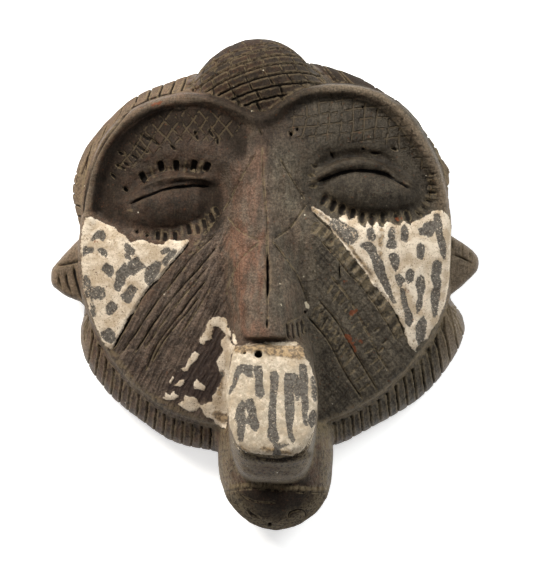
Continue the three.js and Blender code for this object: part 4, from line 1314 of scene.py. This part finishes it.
def carved_wood():
    """Old dark wood with dirt and painted shade in its cuts and hollows, painted light and shade on the nose, rims,
    brows and band, worn high places, and painted clay on the cheeks and muzzle.
    """
    finish = bpy.data.materials.new("old_dark_wood_with_clay")
    finish.use_nodes = True
    tree = finish.node_tree
    tree.nodes.clear()
    bench = Bench(tree)
    place = bench.stretch(bench.node("TexCoord").outputs["Object"], (1 / MM, 1 / MM, 1 / MM))
    edge = ragged_edge()

    def patch(name, ragged, fine, soft):
        """Where the paint, stain or crumb kept under this name lies, with a broken edge."""
        made = bench.use(edge, Place=place, Distance=bench.held(name), Ragged=ragged, Fine=fine, Soft=soft)
        return made["Mask"]

    grain, broad, scrapes, grain_relief, pores = fibres_along_the_carving(bench, place)
    clay = bench.use(crumbly_clay(), Place=place)
    scored = scored_places(bench, place)
    wood = bench.tint(old_wood(bench, place, (grain, broad, scrapes), scored), colour(24, 19, 16), pores, 0.45)
    raw = bench.mix(grain, colour(84, 66, 49), colour(150, 124, 96))
    raw = bench.mix(bench.fade(bench.noise(place, 0.06, 5.0, 0.6), 0.36, 0.7), raw, colour(78, 61, 47))
    wood = bench.mix(bench.held("back"), wood, raw)
    wood = bench.mix(pale_crumbs(bench, place), wood, colour(206, 196, 176))
    wood = bench.tint(wood, colour(52, 41, 40), patch("stain", 0.8, 0.5, 0.8), 0.6)
    laid = bench.times(patch("clay", 0.42, 1.1, 0.08), bench.math("SUBTRACT", 1.0, clay["Holes"]))
    coat, stroke = painted_clay(bench, place, clay["Colour"], patch)
    surface = bench.mix(laid, wood, coat)
    surface = bench.tint(surface, colour(206, 192, 166), patch("crumb", 0.2, 1.6, 0.1), 0.9)
    surface = bench.tint(surface, colour(126, 66, 38), patch("fleck", 0.5, 1.3, 0.15), 0.75)
    # Painted shade: the eyelid slits and the holes near black inside
    surface = bench.mix(bench.fade(bench.held("slit"), 0.25, 0.8), surface, colour(16, 12, 9))

    shader = bench.node("BsdfPrincipled")
    bench.put(shader.inputs["Base Color"], surface)
    bench.put(shader.inputs["Roughness"], roughness(bench, grain, laid))
    relief = fine_relief(bench, place, (grain_relief, scored), (clay["Relief"], stroke, laid))
    bench.put(shader.inputs["Normal"], relief)
    shader.inputs["Specular IOR Level"].default_value = 0.18
    end = bench.node("OutputMaterial")
    tree.links.new(shader.outputs[0], end.inputs["Surface"])
    return finish


def pale_floor():
    made = bmesh.new()
    bmesh.ops.create_grid(made, x_segments=1, y_segments=1, size=3)
    mesh = bpy.data.meshes.new("floor")
    made.to_mesh(mesh)
    made.free()
    mesh.transform(Matrix.Translation((0, 0, -0.0002)))
    floor = bpy.data.objects.new("floor", mesh)
    bpy.context.collection.objects.link(floor)
    paper = bpy.data.materials.new("pale_paper")
    paper.use_nodes = True
    shader = paper.node_tree.nodes["Principled BSDF"]
    shader.inputs["Base Color"].default_value = (0.9, 0.9, 0.9, 1)
    shader.inputs["Roughness"].default_value = 0.9
    shader.inputs["Emission Color"].default_value = (1, 1, 1, 1)
    shader.inputs["Emission Strength"].default_value = 0.6
    mesh.materials.append(paper)


def soft_light(name, at, size, watts, tint):
    lamp = bpy.data.lights.new(name, "AREA")
    lamp.size = size
    lamp.energy = watts
    lamp.color = tint
    made = bpy.data.objects.new(name, lamp)
    made.location = at
    made.rotation_euler = Vector(at).to_track_quat("Z", "Y").to_euler()
    bpy.context.collection.objects.link(made)


def studio():
    scene = bpy.context.scene
    soft_light("window_left", (-0.46, 0.5, 0.46), 0.28, 8.4, (1, 0.96, 0.88))
    soft_light("window_right", (0.5, 0.4, 0.42), 0.28, 3.6, (0.96, 0.99, 0.98))
    soft_light("overhead", (0.05, 0.3, 1.3), 0.6, 1.6, (1, 0.99, 0.95))
    world = bpy.data.worlds.new("white_room")
    world.use_nodes = True
    world.node_tree.nodes["Background"].inputs["Color"].default_value = (1, 1, 1, 1)
    world.node_tree.nodes["Background"].inputs["Strength"].default_value = 0.16
    scene.world = world
    scene.view_settings.view_transform = "Standard"


def camera_from_above():
    """Looks straight down on the mask, with its crown at the top of the picture."""
    height, distance = 147.2, 1785
    lens = bpy.data.cameras.new("camera")
    lens.sensor_width = 36
    lens.lens = 36 * distance / height
    made = bpy.data.objects.new("camera", lens)
    made.location = Vector((0.5, 0.5, 15 + distance)) * MM
    bpy.context.collection.objects.link(made)
    bpy.context.scene.camera = made


camera_from_above()
studio()
pale_floor()
piece, bottoms = carving_block()
bottoms = soften(piece, bottoms)
finer(piece)
carve(piece, bottoms)
paint(piece)
find_high_and_low(piece)
weather_and_painted_light(piece)
thin(piece)
piece.data.materials.clear()
piece.data.materials.append(carved_wood())
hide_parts("mask")
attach(piece, "root")
